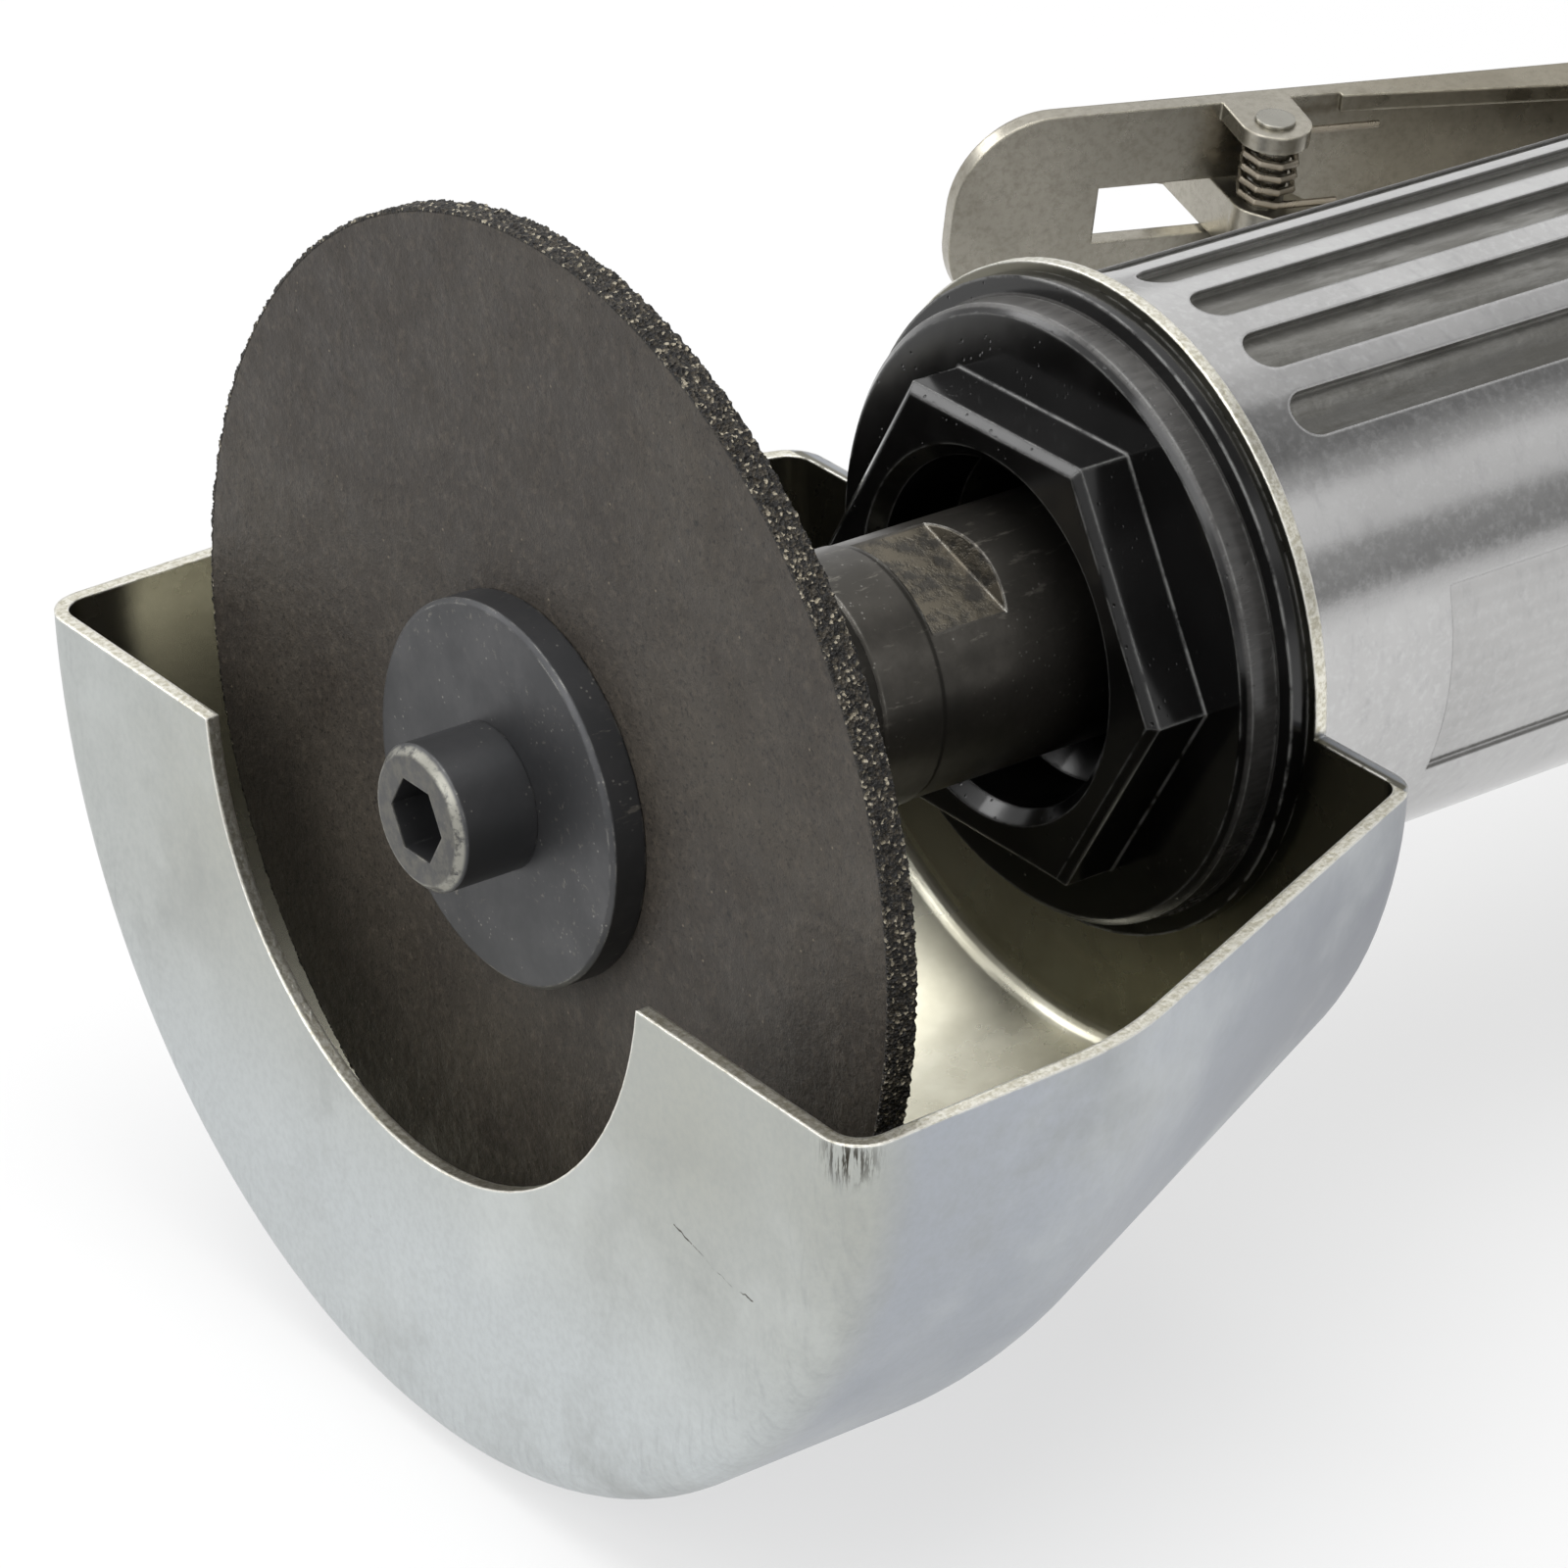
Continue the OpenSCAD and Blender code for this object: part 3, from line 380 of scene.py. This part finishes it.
def zinc_sheet():
    """Plated sheet: soft blotches and specks outside with painted light and shade on the front and skirt, a
    yellower inside with a painted reflection and painted shade, bare edges where it was cut.
    """
    g = Graph("zinc_sheet", 0.3*MM, Metallic=1.0)
    x = g.axis("X")
    z = g.axis("Z")

    # The front, painted lighter and cooler toward its bottom and darker and warmer toward its top as painted
    # light and shade, and the skirt painted darker as shade
    cloud = g.patches(30, 0.34, 0.68, 5, 0.6)
    g.color = g.mix(cloud, ZINC_DULL, ZINC_CLEAR)
    # Painted light: the front lighter and cooler toward its bottom
    g.paint(g.below(z, *GUARD_LIGHT_FADE), ZINC_PAINTED_LIGHT, 0.6)
    # Painted shade: darker, warmer patches toward the front's top
    g.paint(g.both(g.patches(15, 0.30, 0.60, 3), g.span(z, *GUARD_LIGHT_FADE)), ZINC_WARM_SHADE)
    # Painted shade: the skirt darker and bluer than the front, and darker still toward the rear
    skirt = g.mix(cloud, SKIRT_SHADED_DULL, SKIRT_SHADED_CLEAR)
    g.paint(g.span(x, GUARD_LOW.x + 1.5*MM, GUARD_LOW.x + 6*MM), skirt)
    g.paint(g.span(x, GUARD_LOW.x + GUARD_STRAIGHT, GUARD_HIGH.x, 0.0, 0.8), TAPER_SHADE)

    # Grain, smudges, haze and dark specks
    g.paint(g.span(g.noise(1900, 3, 0.7), 0.36, 0.68, 0.0, 0.20), ZINC_GRAIN)
    smudge = g.both(g.patches(60, 0.44, 0.70, 5, 0.70), g.patches(20, 0.42, 0.60, 2))
    g.paint(smudge, ZINC_SMUDGE, 0.6)
    haze = g.span(g.noise(46, 6, 0.62, g.mapping(offset=(0.3, 0.1, 0.2))), 0.44, 0.74)
    g.paint(haze, ZINC_HAZE, 0.45)
    g.paint(g.both(g.dots(170, 0.028, 0.05), g.patches(75, 0.62, 0.66, 2)), RUST_SPECK, 0.85)
    g.paint(g.both(g.crack(HAIRLINE, HAIRLINE_WIDTH), g.patches(700, 0.40, 0.56, 2)), HAIRLINE_DARK)

    # Marks of the drawing tool round the front bend, and a scuffed corner
    bend = g.both(
        g.below(x, GUARD_LOW.x + 3*MM, GUARD_LOW.x + 7*MM),
        g.span(g.radius(), GUARD_R - 6*MM, GUARD_R - 3*MM))
    marks = g.strokes((260, 1700, 300))
    g.paint(g.both(bend, g.span(marks, 0.48, 0.76)), BEND_MARKS, 0.2)
    scratches = g.span(g.strokes((3600, 3600, 260), 4, 0.7), 0.46, 0.56)
    g.paint(g.both(g.near(SCUFF, SCUFF_REACH), scratches), SCUFF_DARK)

    # The inside: a yellower lining, brightened as a painted reflection, with painted shade darkening it
    # toward its top
    stain = g.patches(80, 0.3, 0.7, 5, 0.6)
    inside_shade = g.span(z, *INSIDE_SHADE_FADE, 0.0, 0.85)
    inside = guard_inside(g)
    lining = g.mix(stain, LINING_DULL, LINING_CLEAR)
    g.paint(inside, g.mix(inside_shade, lining, LINING_SHADE))

    # Cut and rubbed edges
    cut = guard_cut_edges(g)
    chips = g.noise(2600, 3, 0.7)
    g.paint(cut, g.mix(g.span(chips, 0.34, 0.64), CUT_DULL, CUT_BRIGHT))
    wear = g.both(g.edge(0.40*MM), g.patches(600, 0.34, 0.52, 4, 0.65))
    g.paint(wear, RUBBED_ZINC, 0.8)
    bare = g.most(cut, wear)

    g.bump(g.noise(900, 3), 0.015*MM, 0.5)
    g.bump(g.both(marks, bend), 0.015*MM, 0.5)
    g.bump(g.both(chips, bare), 0.05*MM, 0.7)
    rough = g.lerp(inside, g.lerp(cloud, 0.44, 0.36), g.lerp(stain, 0.30, 0.24))
    return g.done(g.lerp(bare, rough, BARE_ROUGH))


# Wheel
FACE_DARK = rgb(0.034, 0.028, 0.0225)
FACE_PALE = rgb(0.055, 0.047, 0.037)
FACE_LUMP = rgb(0.090, 0.075, 0.058)
FACE_GRAIN = rgb(0.012, 0.010, 0.008)
FACE_FLECK = rgb(0.26, 0.22, 0.16)
FACE_PIT = rgb(0.006, 0.006, 0.005)
GRIT_DARK = rgb(0.008, 0.007, 0.006)
GRIT_PALE = rgb(0.055, 0.046, 0.033)
GRIT_PAINTED_GLINT = rgb(0.36, 0.32, 0.24)
GRIT_CELLS = 4800
GRIT_SHUFFLE = 7.31


def abrasive():
    """Bonded grit: papery dark faces with fine flecks, coarse grit on the rim whose few pale, smooth grains
    glint, their pale colour partly a painted glint.
    """
    g = Graph("abrasive", Metallic=0.0, Specular_IOR_Level=0.4)
    cloth = g.noise(260, 5, 0.62)
    lumps = g.noise(1300, 4, 0.7)

    # The faces, with pale flecks and dark pits
    g.color = g.mix(g.patches(38, 0.35, 0.68, 5, 0.65), FACE_DARK, FACE_PALE)
    g.paint(g.span(lumps, 0.46, 0.72, 0.0, 0.55), FACE_LUMP)
    g.paint(g.span(g.noise(3200, 3, 0.7), 0.54, 0.66, 0.0, 0.75), FACE_GRAIN)
    g.paint(g.both(g.dots(900, 0.05, 0.11), g.patches(300, 0.54, 0.6, 2)), FACE_FLECK, 0.55)
    g.paint(g.both(g.dots(420, 0.05, 0.13), g.patches(160, 0.57, 0.63, 2)), FACE_PIT, 0.8)

    # The rim's grains, of which a few are pale and glint; that pale colour is partly a painted glint
    rim = g.span(g.radius(), WHEEL_R - 0.45*MM, WHEEL_R - 0.32*MM)
    grains = g.cells(GRIT_CELLS)
    pick = g.math("FRACT", g.math("MULTIPLY", grains["Color"], GRIT_SHUFFLE))
    glint = g.span(pick, 0.88, 0.95)
    grit = g.mix(g.span(pick, 0.30, 0.88), GRIT_DARK, GRIT_PALE)
    g.paint(rim, g.mix(glint, grit, GRIT_PAINTED_GLINT))

    g.bump(cloth, 0.25*MM, 0.6)
    g.bump(lumps, 0.14*MM, 0.8)
    g.bump(g.both(grains["Distance"], rim), 0.3*MM, 0.9)
    return g.done(g.lerp(rim, g.span(cloth, 0.3, 0.7, 0.62, 0.48), g.lerp(glint, 0.55, 0.15)))


# Spindle, flanges and screw
STEEL_FLECK = rgb(0.34, 0.33, 0.30)
STEEL_RUBBED = rgb(0.30, 0.28, 0.24)
STEEL_MILLED = rgb(0.16, 0.14, 0.105)
STEEL_WORN = rgb(0.50, 0.49, 0.45)
SCREW_FACE = rgb(0.135, 0.13, 0.112)
SCREW_RIM = rgb(0.30, 0.295, 0.26)
WORN_ROUGH = 0.36


def oxide_steel(name, dark, light, rough_low, rough_high, worn):
    """Blackened steel with pale flecks and worn edges."""
    g = Graph(name, 0.25*MM, Metallic=0.85)
    x = g.axis("X")
    radius = g.radius()
    cloud = g.patches(150, 0.35, 0.7, 5, 0.6)
    g.color = g.mix(cloud, dark, light)
    g.paint(g.span(g.noise(1700, 3, 0.7), 0.45, 0.72, 0.0, 0.3), dark)
    g.paint(g.both(g.dots(1900, 0.10, 0.20), g.patches(300, 0.54, 0.62, 3)), STEEL_FLECK, 0.6)
    rubbed = g.both(g.span(g.strokes((420, 1500, 1500)), 0.58, 0.72), g.patches(70, 0.50, 0.62, 2))
    g.paint(rubbed, STEEL_RUBBED, 0.5)

    # The spindle's milled wrench flats
    flats = g.both(
        g.span(x, FLAT_START - 0.2*MM, FLAT_START),
        g.span(radius, FLAT_NEAR - 0.1*MM, FLAT_NEAR),
        g.below(radius, SPINDLE_R - 0.16*MM, SPINDLE_R - 0.06*MM))
    milled = g.patches(520, 0.38, 0.62, 5, 0.7)
    g.paint(flats, g.mix(milled, dark, STEEL_MILLED), 0.8)

    # Worn edges, and the screw's dull face with its rounded rim
    wear = g.both(g.edge(0.35*MM), g.patches(900, 0.40, 0.60, 4, 0.65), g.patches(330, 0.42, 0.58, 3))
    g.paint(wear, STEEL_WORN, worn)
    face = g.both(
        g.span(x, SCREW_FRONT + 0.25*MM, SCREW_FRONT + 0.05*MM),
        g.span(g.noise(900, 4, 0.7), 0.38, 0.64, 0.2, 0.85))
    g.paint(face, SCREW_FACE)
    rounded = g.both(
        g.span(x, SCREW_FRONT + 0.55*MM, SCREW_FRONT + 0.35*MM),
        g.span(radius, SCREW_R - 0.8*MM, SCREW_R - 0.5*MM),
        g.patches(1100, 0.36, 0.56, 4, 0.7))
    g.paint(rounded, SCREW_RIM)

    g.bump(g.strokes((9000, 300, 300), 2, 0.5), 0.006*MM, 0.4)
    g.bump(g.noise(1500, 3), 0.014*MM, 0.5)
    g.bump(g.both(milled, flats), 0.05*MM, 0.6)
    return g.done(g.lerp(g.most(wear, face), g.lerp(cloud, rough_low, rough_high), WORN_ROUGH))


# Nut, washer and rear cover
COAT_DARK = rgb(0.0030, 0.0029, 0.0029)
COAT_PALE = rgb(0.0060, 0.0058, 0.0058)
COAT_SCRATCHED = rgb(0.095, 0.092, 0.088)
COAT_WORN_AND_HIGHLIGHT = rgb(0.33, 0.33, 0.32)


def black_metal():
    """Glossy black coat with pale rubbed edges, brightened as a painted highlight, scratched grey round the
    nut's flange.
    """
    g = Graph("black_metal", 0.4*MM, Metallic=0.0, Specular_IOR_Level=0.5)
    radius = g.radius()
    cloud = g.patches(120, 0.35, 0.7)
    g.color = g.mix(cloud, COAT_DARK, COAT_PALE)
    flange = g.both(
        g.span(radius, NUT_FLANGE_R - 0.35*MM, NUT_FLANGE_R - 0.15*MM),
        g.below(radius, NUT_FLANGE_R + 0.15*MM, NUT_FLANGE_R + 0.3*MM))
    scratch = g.span(g.strokes((420, 1700, 1700)), 0.30, 0.70, 0.65, 1.0)
    worn = g.both(flange, scratch, g.span(g.noise(60, 3), 0.38, 0.62, 0.45, 1.0))
    g.paint(worn, COAT_SCRATCHED, 0.9)
    # Pale rubbed edges, partly wear and partly a painted highlight along the edges
    wear = g.both(
        g.edge(0.45*MM),
        g.patches(420, 0.34, 0.56, 4, 0.65),
        g.span(radius, NUT_MOUTH_R - 0.4*MM, NUT_MOUTH_R - 0.1*MM))
    g.paint(wear, COAT_WORN_AND_HIGHLIGHT, 0.7)
    g.bump(g.noise(160, 2), 0.05*MM, 0.35)
    g.bump(g.both(g.dots(1500, 0.08, 0.22), g.patches(420, 0.50, 0.58, 3)), -0.03*MM, 0.8)
    return g.done(g.lerp(worn, g.lerp(cloud, 0.13, 0.20), WORN_ROUGH))


# Housing
CAST_DULL = rgb(0.49, 0.487, 0.483)
CAST_CLEAR = rgb(0.56, 0.557, 0.553)
CAST_FINE = rgb(0.66, 0.66, 0.66)
CAST_MARKS = rgb(0.36, 0.36, 0.365)
PITTED_DARK = rgb(0.135, 0.132, 0.120)
PITTED_PALE = rgb(0.27, 0.266, 0.25)
PITTED_STAIN = rgb(0.19, 0.185, 0.17)
WALL_PAINTED_SHADE = rgb(0.10, 0.095, 0.08)


def cast_aluminium():
    """Polished casting with fine marks; the floors of its flutes are left rough, grey and hollow, and the
    walls of its flutes and recesses darkened as painted shade.
    """
    g = Graph("cast_aluminium", 0.35*MM, Metallic=1.0)
    radius = g.radius()
    floor = g.both(
        g.below(radius, HOUSING_R - 0.55*MM, HOUSING_R - 0.30*MM),
        g.below(g.axis("X"), FLUTES_END, FLUTES_END + 1*MM))
    wall = g.both(
        g.span(radius, HOUSING_R - 0.34*MM, HOUSING_R - 0.28*MM),
        g.below(radius, HOUSING_R - 0.08*MM, HOUSING_R - 0.02*MM))
    marks = g.strokes((900, 420, 420))
    fine = g.noise(1400, 4, 0.7)
    g.color = g.mix(g.patches(70, 0.35, 0.7), CAST_DULL, CAST_CLEAR)
    g.paint(g.span(fine, 0.45, 0.72, 0.0, 0.4), CAST_FINE)
    g.paint(g.span(marks, 0.50, 0.75, 0.0, 0.3), CAST_MARKS)
    grime = g.span(g.strokes((170, 900, 900), 5, 0.7), 0.34, 0.68)
    pitted = g.mix(grime, PITTED_DARK, PITTED_PALE)
    pitted = g.mix(g.span(g.noise(90, 3), 0.4, 0.65, 0.0, 0.5), pitted, PITTED_STAIN)
    g.paint(floor, pitted)
    # Painted shade on the steep walls of the flutes and recesses
    g.paint(wall, WALL_PAINTED_SHADE, 0.55)

    turn = g.math("ARCTAN2", g.math("MULTIPLY", g.axis("Y"), -1.0), g.axis("Z"))
    hollow = g.math("MULTIPLY", g.math("COSINE", g.math("MULTIPLY", turn, 2*math.pi/FLUTE_PITCH)), -0.5)
    g.bump(g.both(hollow, floor), FLUTE_HOLLOW)
    g.bump(g.noise(190, 3, 0.6), 0.030*MM, 0.5)
    g.bump(marks, 0.010*MM, 0.5)
    g.bump(fine, 0.008*MM, 0.5)
    g.bump(g.both(g.noise(900, 3), floor), 0.07*MM, 0.8)
    return g.done(g.lerp(floor, g.span(fine, 0.35, 0.68, 0.11, 0.21), g.span(grime, 0.0, 1.0, 0.44, 0.32)))


# Lever
LEVER_DULL = rgb(0.35, 0.33, 0.28)
LEVER_CLEAR = rgb(0.44, 0.415, 0.355)
BROWN_DULL = rgb(0.22, 0.197, 0.148)
BROWN_CLEAR = rgb(0.30, 0.272, 0.21)
LEVER_GRAIN = rgb(0.15, 0.135, 0.10)
LEVER_STAIN = rgb(0.13, 0.11, 0.075)
LEVER_WORN = rgb(0.62, 0.58, 0.46)


def lever_plate():
    """Plated lever strip, cleaner at its front, browner toward the hinge."""
    g = Graph("lever_steel", 0.3*MM, Metallic=1.0)
    cloud = g.patches(60, 0.32, 0.70, 5, 0.6)
    clean = g.mix(cloud, LEVER_DULL, LEVER_CLEAR)
    brown = g.mix(cloud, BROWN_DULL, BROWN_CLEAR)
    g.color = g.mix(g.span(g.axis("X"), *LEVER_FADE), clean, brown)
    g.paint(g.span(g.noise(1500, 3, 0.7), 0.40, 0.72, 0.0, 0.3), LEVER_GRAIN)
    stain = g.both(g.patches(150, 0.50, 0.80, 5, 0.7), g.patches(40, 0.45, 0.6, 2))
    g.paint(stain, LEVER_STAIN, 0.5)
    g.paint(g.both(g.edge(0.3*MM), g.patches(500, 0.36, 0.6, 3)), LEVER_WORN, 0.55)
    g.bump(g.noise(1100, 3), 0.012*MM, 0.5)
    return g.done(g.span(g.noise(300), 0.3, 0.7, 0.24, 0.36))


# Plain metals and soft stuff
DULLER = 0.62
BRIGHTER = 1.35


def plated(name, dark, light, rough_low, rough_high, relief=0.01*MM):
    """Clean metal with dull stains and bright edges."""
    g = Graph(name, 0.25*MM, Metallic=1.0)
    g.color = g.mix(g.patches(90, 0.35, 0.7, 5), dark, light)
    g.paint(g.patches(160, 0.46, 0.80, 5, 0.65), rgb(*(c*DULLER for c in dark[:3])), 0.5)
    bright = rgb(*(min(1.0, c*BRIGHTER) for c in light[:3]))
    g.paint(g.both(g.edge(0.3*MM), g.patches(600, 0.3, 0.6, 3)), bright, 0.6)
    g.bump(g.noise(1100, 3), relief, 0.6)
    return g.done(g.lerp(g.patches(520, 0.3, 0.7, 4, 0.6), rough_low, rough_high))


def soft_stuff(name, dark, light, rough, scale, relief):
    """Resin, rubber or felt: one grain in colour and relief."""
    g = Graph(name, Metallic=0.0)
    grain = g.noise(scale, 5, 0.65)
    g.color = g.mix(g.span(grain, 0.35, 0.7), dark, light)
    g.bump(grain, relief, 0.8)
    return g.done(g.span(g.noise(scale*0.4, 3), 0.3, 0.7, rough - 0.08, rough + 0.08))


# By name: dark and light colour, roughness from and to, and the share of the edges' wear
OXIDE_STEELS = {
    "flange_steel": (rgb(0.068, 0.069, 0.072), rgb(0.092, 0.092, 0.095), 0.46, 0.40, 0.6),
    "dark_steel": (rgb(0.062, 0.058, 0.051), rgb(0.110, 0.102, 0.090), 0.38, 0.30, 0.75),
}

# By name: dark and light colour, roughness from and to, and where it differs the relief
PLATED = {
    "pin_steel": (rgb(0.26, 0.25, 0.22), rgb(0.36, 0.35, 0.31), 0.24, 0.34),
    "spring_steel": (rgb(0.24, 0.21, 0.16), rgb(0.38, 0.34, 0.28), 0.25, 0.35),
    "bearing_steel": (rgb(0.60, 0.61, 0.63), rgb(0.72, 0.73, 0.75), 0.12, 0.20),
    "cast_iron": (rgb(0.28, 0.29, 0.30), rgb(0.40, 0.41, 0.42), 0.42, 0.52, 0.03*MM),
    "brass": (rgb(0.60, 0.46, 0.20), rgb(0.74, 0.60, 0.30), 0.24, 0.34),
    "inlet_steel": (rgb(0.60, 0.61, 0.63), rgb(0.74, 0.75, 0.77), 0.16, 0.26),
}

# By name: dark and light colour, roughness, scale of the grain and its relief
SOFT_STUFF = {
    "blade_resin": (rgb(0.20, 0.11, 0.05), rgb(0.36, 0.22, 0.11), 0.55, 700, 0.03*MM),
    "rubber": (rgb(0.010, 0.010, 0.010), rgb(0.022, 0.022, 0.022), 0.62, 900, 0.02*MM),
    "felt": (rgb(0.16, 0.155, 0.145), rgb(0.32, 0.31, 0.29), 0.9, 1300, 0.15*MM),
}

MATERIALS = {
    "zinc_sheet": zinc_sheet(),
    "abrasive": abrasive(),
    "black_metal": black_metal(),
    "cast_aluminium": cast_aluminium(),
    "lever_steel": lever_plate(),
}
for make, looks in ((oxide_steel, OXIDE_STEELS), (plated, PLATED), (soft_stuff, SOFT_STUFF)):
    for slot, look in looks.items():
        MATERIALS[slot] = make(slot, *look)


def dress_nodes():
    for entry in frame["record"]["subparts"]:
        obj = frame["nodes"][entry["node"]]
        obj.data.materials.clear()
        obj.data.materials.append(MATERIALS[entry["material_slot"]])


# The wheel's shape: rings of points over one face, the rim and the other face
WHEEL_STEPS = 1800
WHEEL_SEED = 7
FACE_RADII = [37.85, 37.6, 36.9, 35.5, 33, 29, 24, 19, 13, 9, 4.82]
FACE_SINK = 0.04*MM
FACE_WAVE = 0.03*MM
FACE_WAVES_ROUND = 3
FACE_WAVES_OUT = 90
RAGGED_FROM = WHEEL_R - 0.4*MM
RAGGED_OUT = 0.12*MM
RAGGED_IN = 0.06*MM
RIM_ROWS = 12
RIM_LUMP = 0.5*MM
RIM_DEPTH = 0.20*MM
RIM_GRIT = 0.14*MM
RIM_SINK = 0.02*MM
RIM_SHIFT = 0.08*MM


def closed_mesh(name, rows):
    """A mesh from closed rings of points, each ring joined to the next."""
    verts = [p for row in rows for p in row]
    count = len(rows[0])
    faces = []
    for i in range(len(rows) - 1):
        for j in range(count):
            k = (j + 1) % count
            faces.append((i*count + j, i*count + k, (i + 1)*count + k, (i + 1)*count + j))
    mesh = bpy.data.meshes.new(name)
    mesh.from_pydata(verts, [], faces)
    mesh.update()
    obj = bpy.data.objects.new(name, mesh)
    bpy.context.scene.collection.objects.link(obj)
    return obj


def make_wheel():
    """The wheel with a gritty rim and slightly uneven faces."""
    low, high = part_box("cutting_wheel")
    rng = random.Random(WHEEL_SEED)
    turns = [2*math.pi*j/WHEEL_STEPS for j in range(WHEEL_STEPS)]

    def face_row(x, base, inward):
        points = []
        ragged = base > RAGGED_FROM
        for turn in turns:
            r = base - (rng.random()*RAGGED_OUT if ragged else 0.0)
            place = Vector((
                math.cos(turn)*FACE_WAVES_ROUND, math.sin(turn)*FACE_WAVES_ROUND, base*FACE_WAVES_OUT))
            wave = FACE_WAVE*noise.noise(place)
            sink = FACE_SINK + abs(wave) + (rng.random()*RAGGED_IN if ragged else 0.0)
            points.append((x + inward*sink, r*math.cos(turn), r*math.sin(turn)))
        return points

    def rim_row(i):
        share = (i + 0.5)/RIM_ROWS
        x = high.x + (low.x - high.x)*share
        points = []
        for turn in turns:
            place = Vector((x, WHEEL_R*math.cos(turn), WHEEL_R*math.sin(turn)))/RIM_LUMP
            lump = 0.5 + noise.noise(place)
            r = WHEEL_R - RIM_SINK - max(0.0, lump)*RIM_DEPTH - rng.random()**2*RIM_GRIT
            shift = (rng.random() - 0.5)*RIM_SHIFT
            points.append((x + shift, r*math.cos(turn), r*math.sin(turn)))
        return points

    rows = [face_row(high.x, r*MM, -1) for r in reversed(FACE_RADII)]
    rows += [rim_row(i) for i in range(RIM_ROWS)]
    rows += [face_row(low.x, r*MM, 1) for r in FACE_RADII]
    rows.append(rows[0])
    obj = closed_mesh("wheel_disc", rows)
    for poly in obj.data.polygons:
        poly.use_smooth = True
    obj.data.materials.append(MATERIALS["abrasive"])
    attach(obj, "spindle_unit")
    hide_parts("cutting_wheel")


# Studio
FLOOR_Z = -46.4*MM
FLOOR_HALF = 6.0
FLOOR_PALE = 0.25
FLOOR_GLOW = 0.62

# Soft light and dark bands along the tool: angle from the -Y horizon over the top, and brightness
SKY_BANDS = [
    (0, 0.55), (7, 0.22), (20, 0.26), (28, 0.56), (41, 0.60), (50, 0.32), (60, 0.15), (76, 0.18),
    (90, 0.45), (102, 0.62), (122, 0.68), (150, 0.74), (160, 0.50), (170, 0.42), (180, 0.66)]
SKY_HALF_TURN = 180
SKY_PLAIN = 0.60
SKY_LEVEL = 1.45

# From this share of X in the direction to that one, the bands give way to the plain sky
SKY_ENDS = (0.78, 0.96)

# Lamps: place, size along and across, and watts, all aimed at the tool's middle
LAMP_AIM = (-0.13, 0, 0)
LAMPS = {
    "top": ((-0.25, -0.10, 1.6), 1.5, 1.1, 21),
    "left": ((-0.85, -0.15, 0.50), 0.5, 0.6, 2.7),
    "back": ((-0.45, 0.90, 0.70), 0.5, 0.4, 2.4),
    "front": ((-0.25, -0.80, 0.20), 0.5, 0.4, 0.8),
}


def make_floor():
    """A pale floor that metal mirrors as it is, and that keeps the tool's shadow."""
    mesh = bpy.data.meshes.new("floor")
    corners = [(x*FLOOR_HALF, y*FLOOR_HALF, FLOOR_Z) for x, y in ((-1, -1), (1, -1), (1, 1), (-1, 1))]
    mesh.from_pydata(corners, [], [(0, 1, 2, 3)])
    obj = bpy.data.objects.new("floor", mesh)
    bpy.context.scene.collection.objects.link(obj)
    mat = bpy.data.materials.new("floor")
    tree = Tree(mat)
    path = tree.add("LightPath").outputs
    seen = tree.math("MAXIMUM", path["Is Camera Ray"], path["Is Glossy Ray"])
    seen = tree.math("MAXIMUM", seen, path["Is Transmission Ray"])
    glow = tree.add("Emission", Color=rgb(1, 1, 1), Strength=tree.math("MULTIPLY", seen, FLOOR_GLOW))
    pale = tree.add("BsdfDiffuse", Color=rgb(FLOOR_PALE, FLOOR_PALE, FLOOR_PALE))
    both = tree.add("AddShader")
    tree.put(both.inputs[0], pale.outputs[0])
    tree.put(both.inputs[1], glow.outputs[0])
    tree.add("OutputMaterial", Surface=both.outputs[0])
    mesh.materials.append(mat)


def make_world():
    """A pale studio with broad soft bands of light and dark that run along the tool."""
    world = bpy.data.worlds.new("studio")
    bpy.context.scene.world = world
    tree = Tree(world)
    parts = tree.add("SeparateXYZ", Vector=tree.add("TexCoord").outputs["Generated"]).outputs
    angle = tree.math("ARCTAN2", parts["Z"], tree.math("MULTIPLY", parts["Y"], -1.0))
    ramp = tree.add("ValToRGB", Fac=tree.math("DIVIDE", angle, math.pi))
    ramp.color_ramp.interpolation = "EASE"
    stops = ramp.color_ramp.elements
    while len(stops) < len(SKY_BANDS):
        stops.new(0.5)
    for stop, (degrees, level) in zip(stops, SKY_BANDS):
        stop.position = degrees/SKY_HALF_TURN
        stop.color = rgb(level, level, level)
    sideways = tree.math("ABSOLUTE", parts["X"])
    end = tree.add("MapRange", Value=sideways, From_Min=SKY_ENDS[0], From_Max=SKY_ENDS[1])
    color = tree.mix(end.outputs["Result"], ramp.outputs[0], rgb(SKY_PLAIN, SKY_PLAIN, SKY_PLAIN))
    sky = tree.add("Background", Color=color, Strength=SKY_LEVEL)
    tree.add("OutputWorld", Surface=sky.outputs[0])


def make_lights():
    for name, (at, size_x, size_y, watts) in LAMPS.items():
        data = bpy.data.lights.new(name, "AREA")
        data.shape = "RECTANGLE"
        data.size = size_x
        data.size_y = size_y
        data.energy = watts
        obj = bpy.data.objects.new(name, data)
        bpy.context.scene.collection.objects.link(obj)
        obj.location = at
        obj.rotation_euler = (Vector(LAMP_AIM) - Vector(at)).to_track_quat("-Z", "Y").to_euler()


make_camera()
make_world()
make_lights()
make_floor()
dress_nodes()
make_wheel()

bpy.context.scene.view_settings.view_transform = "Standard"
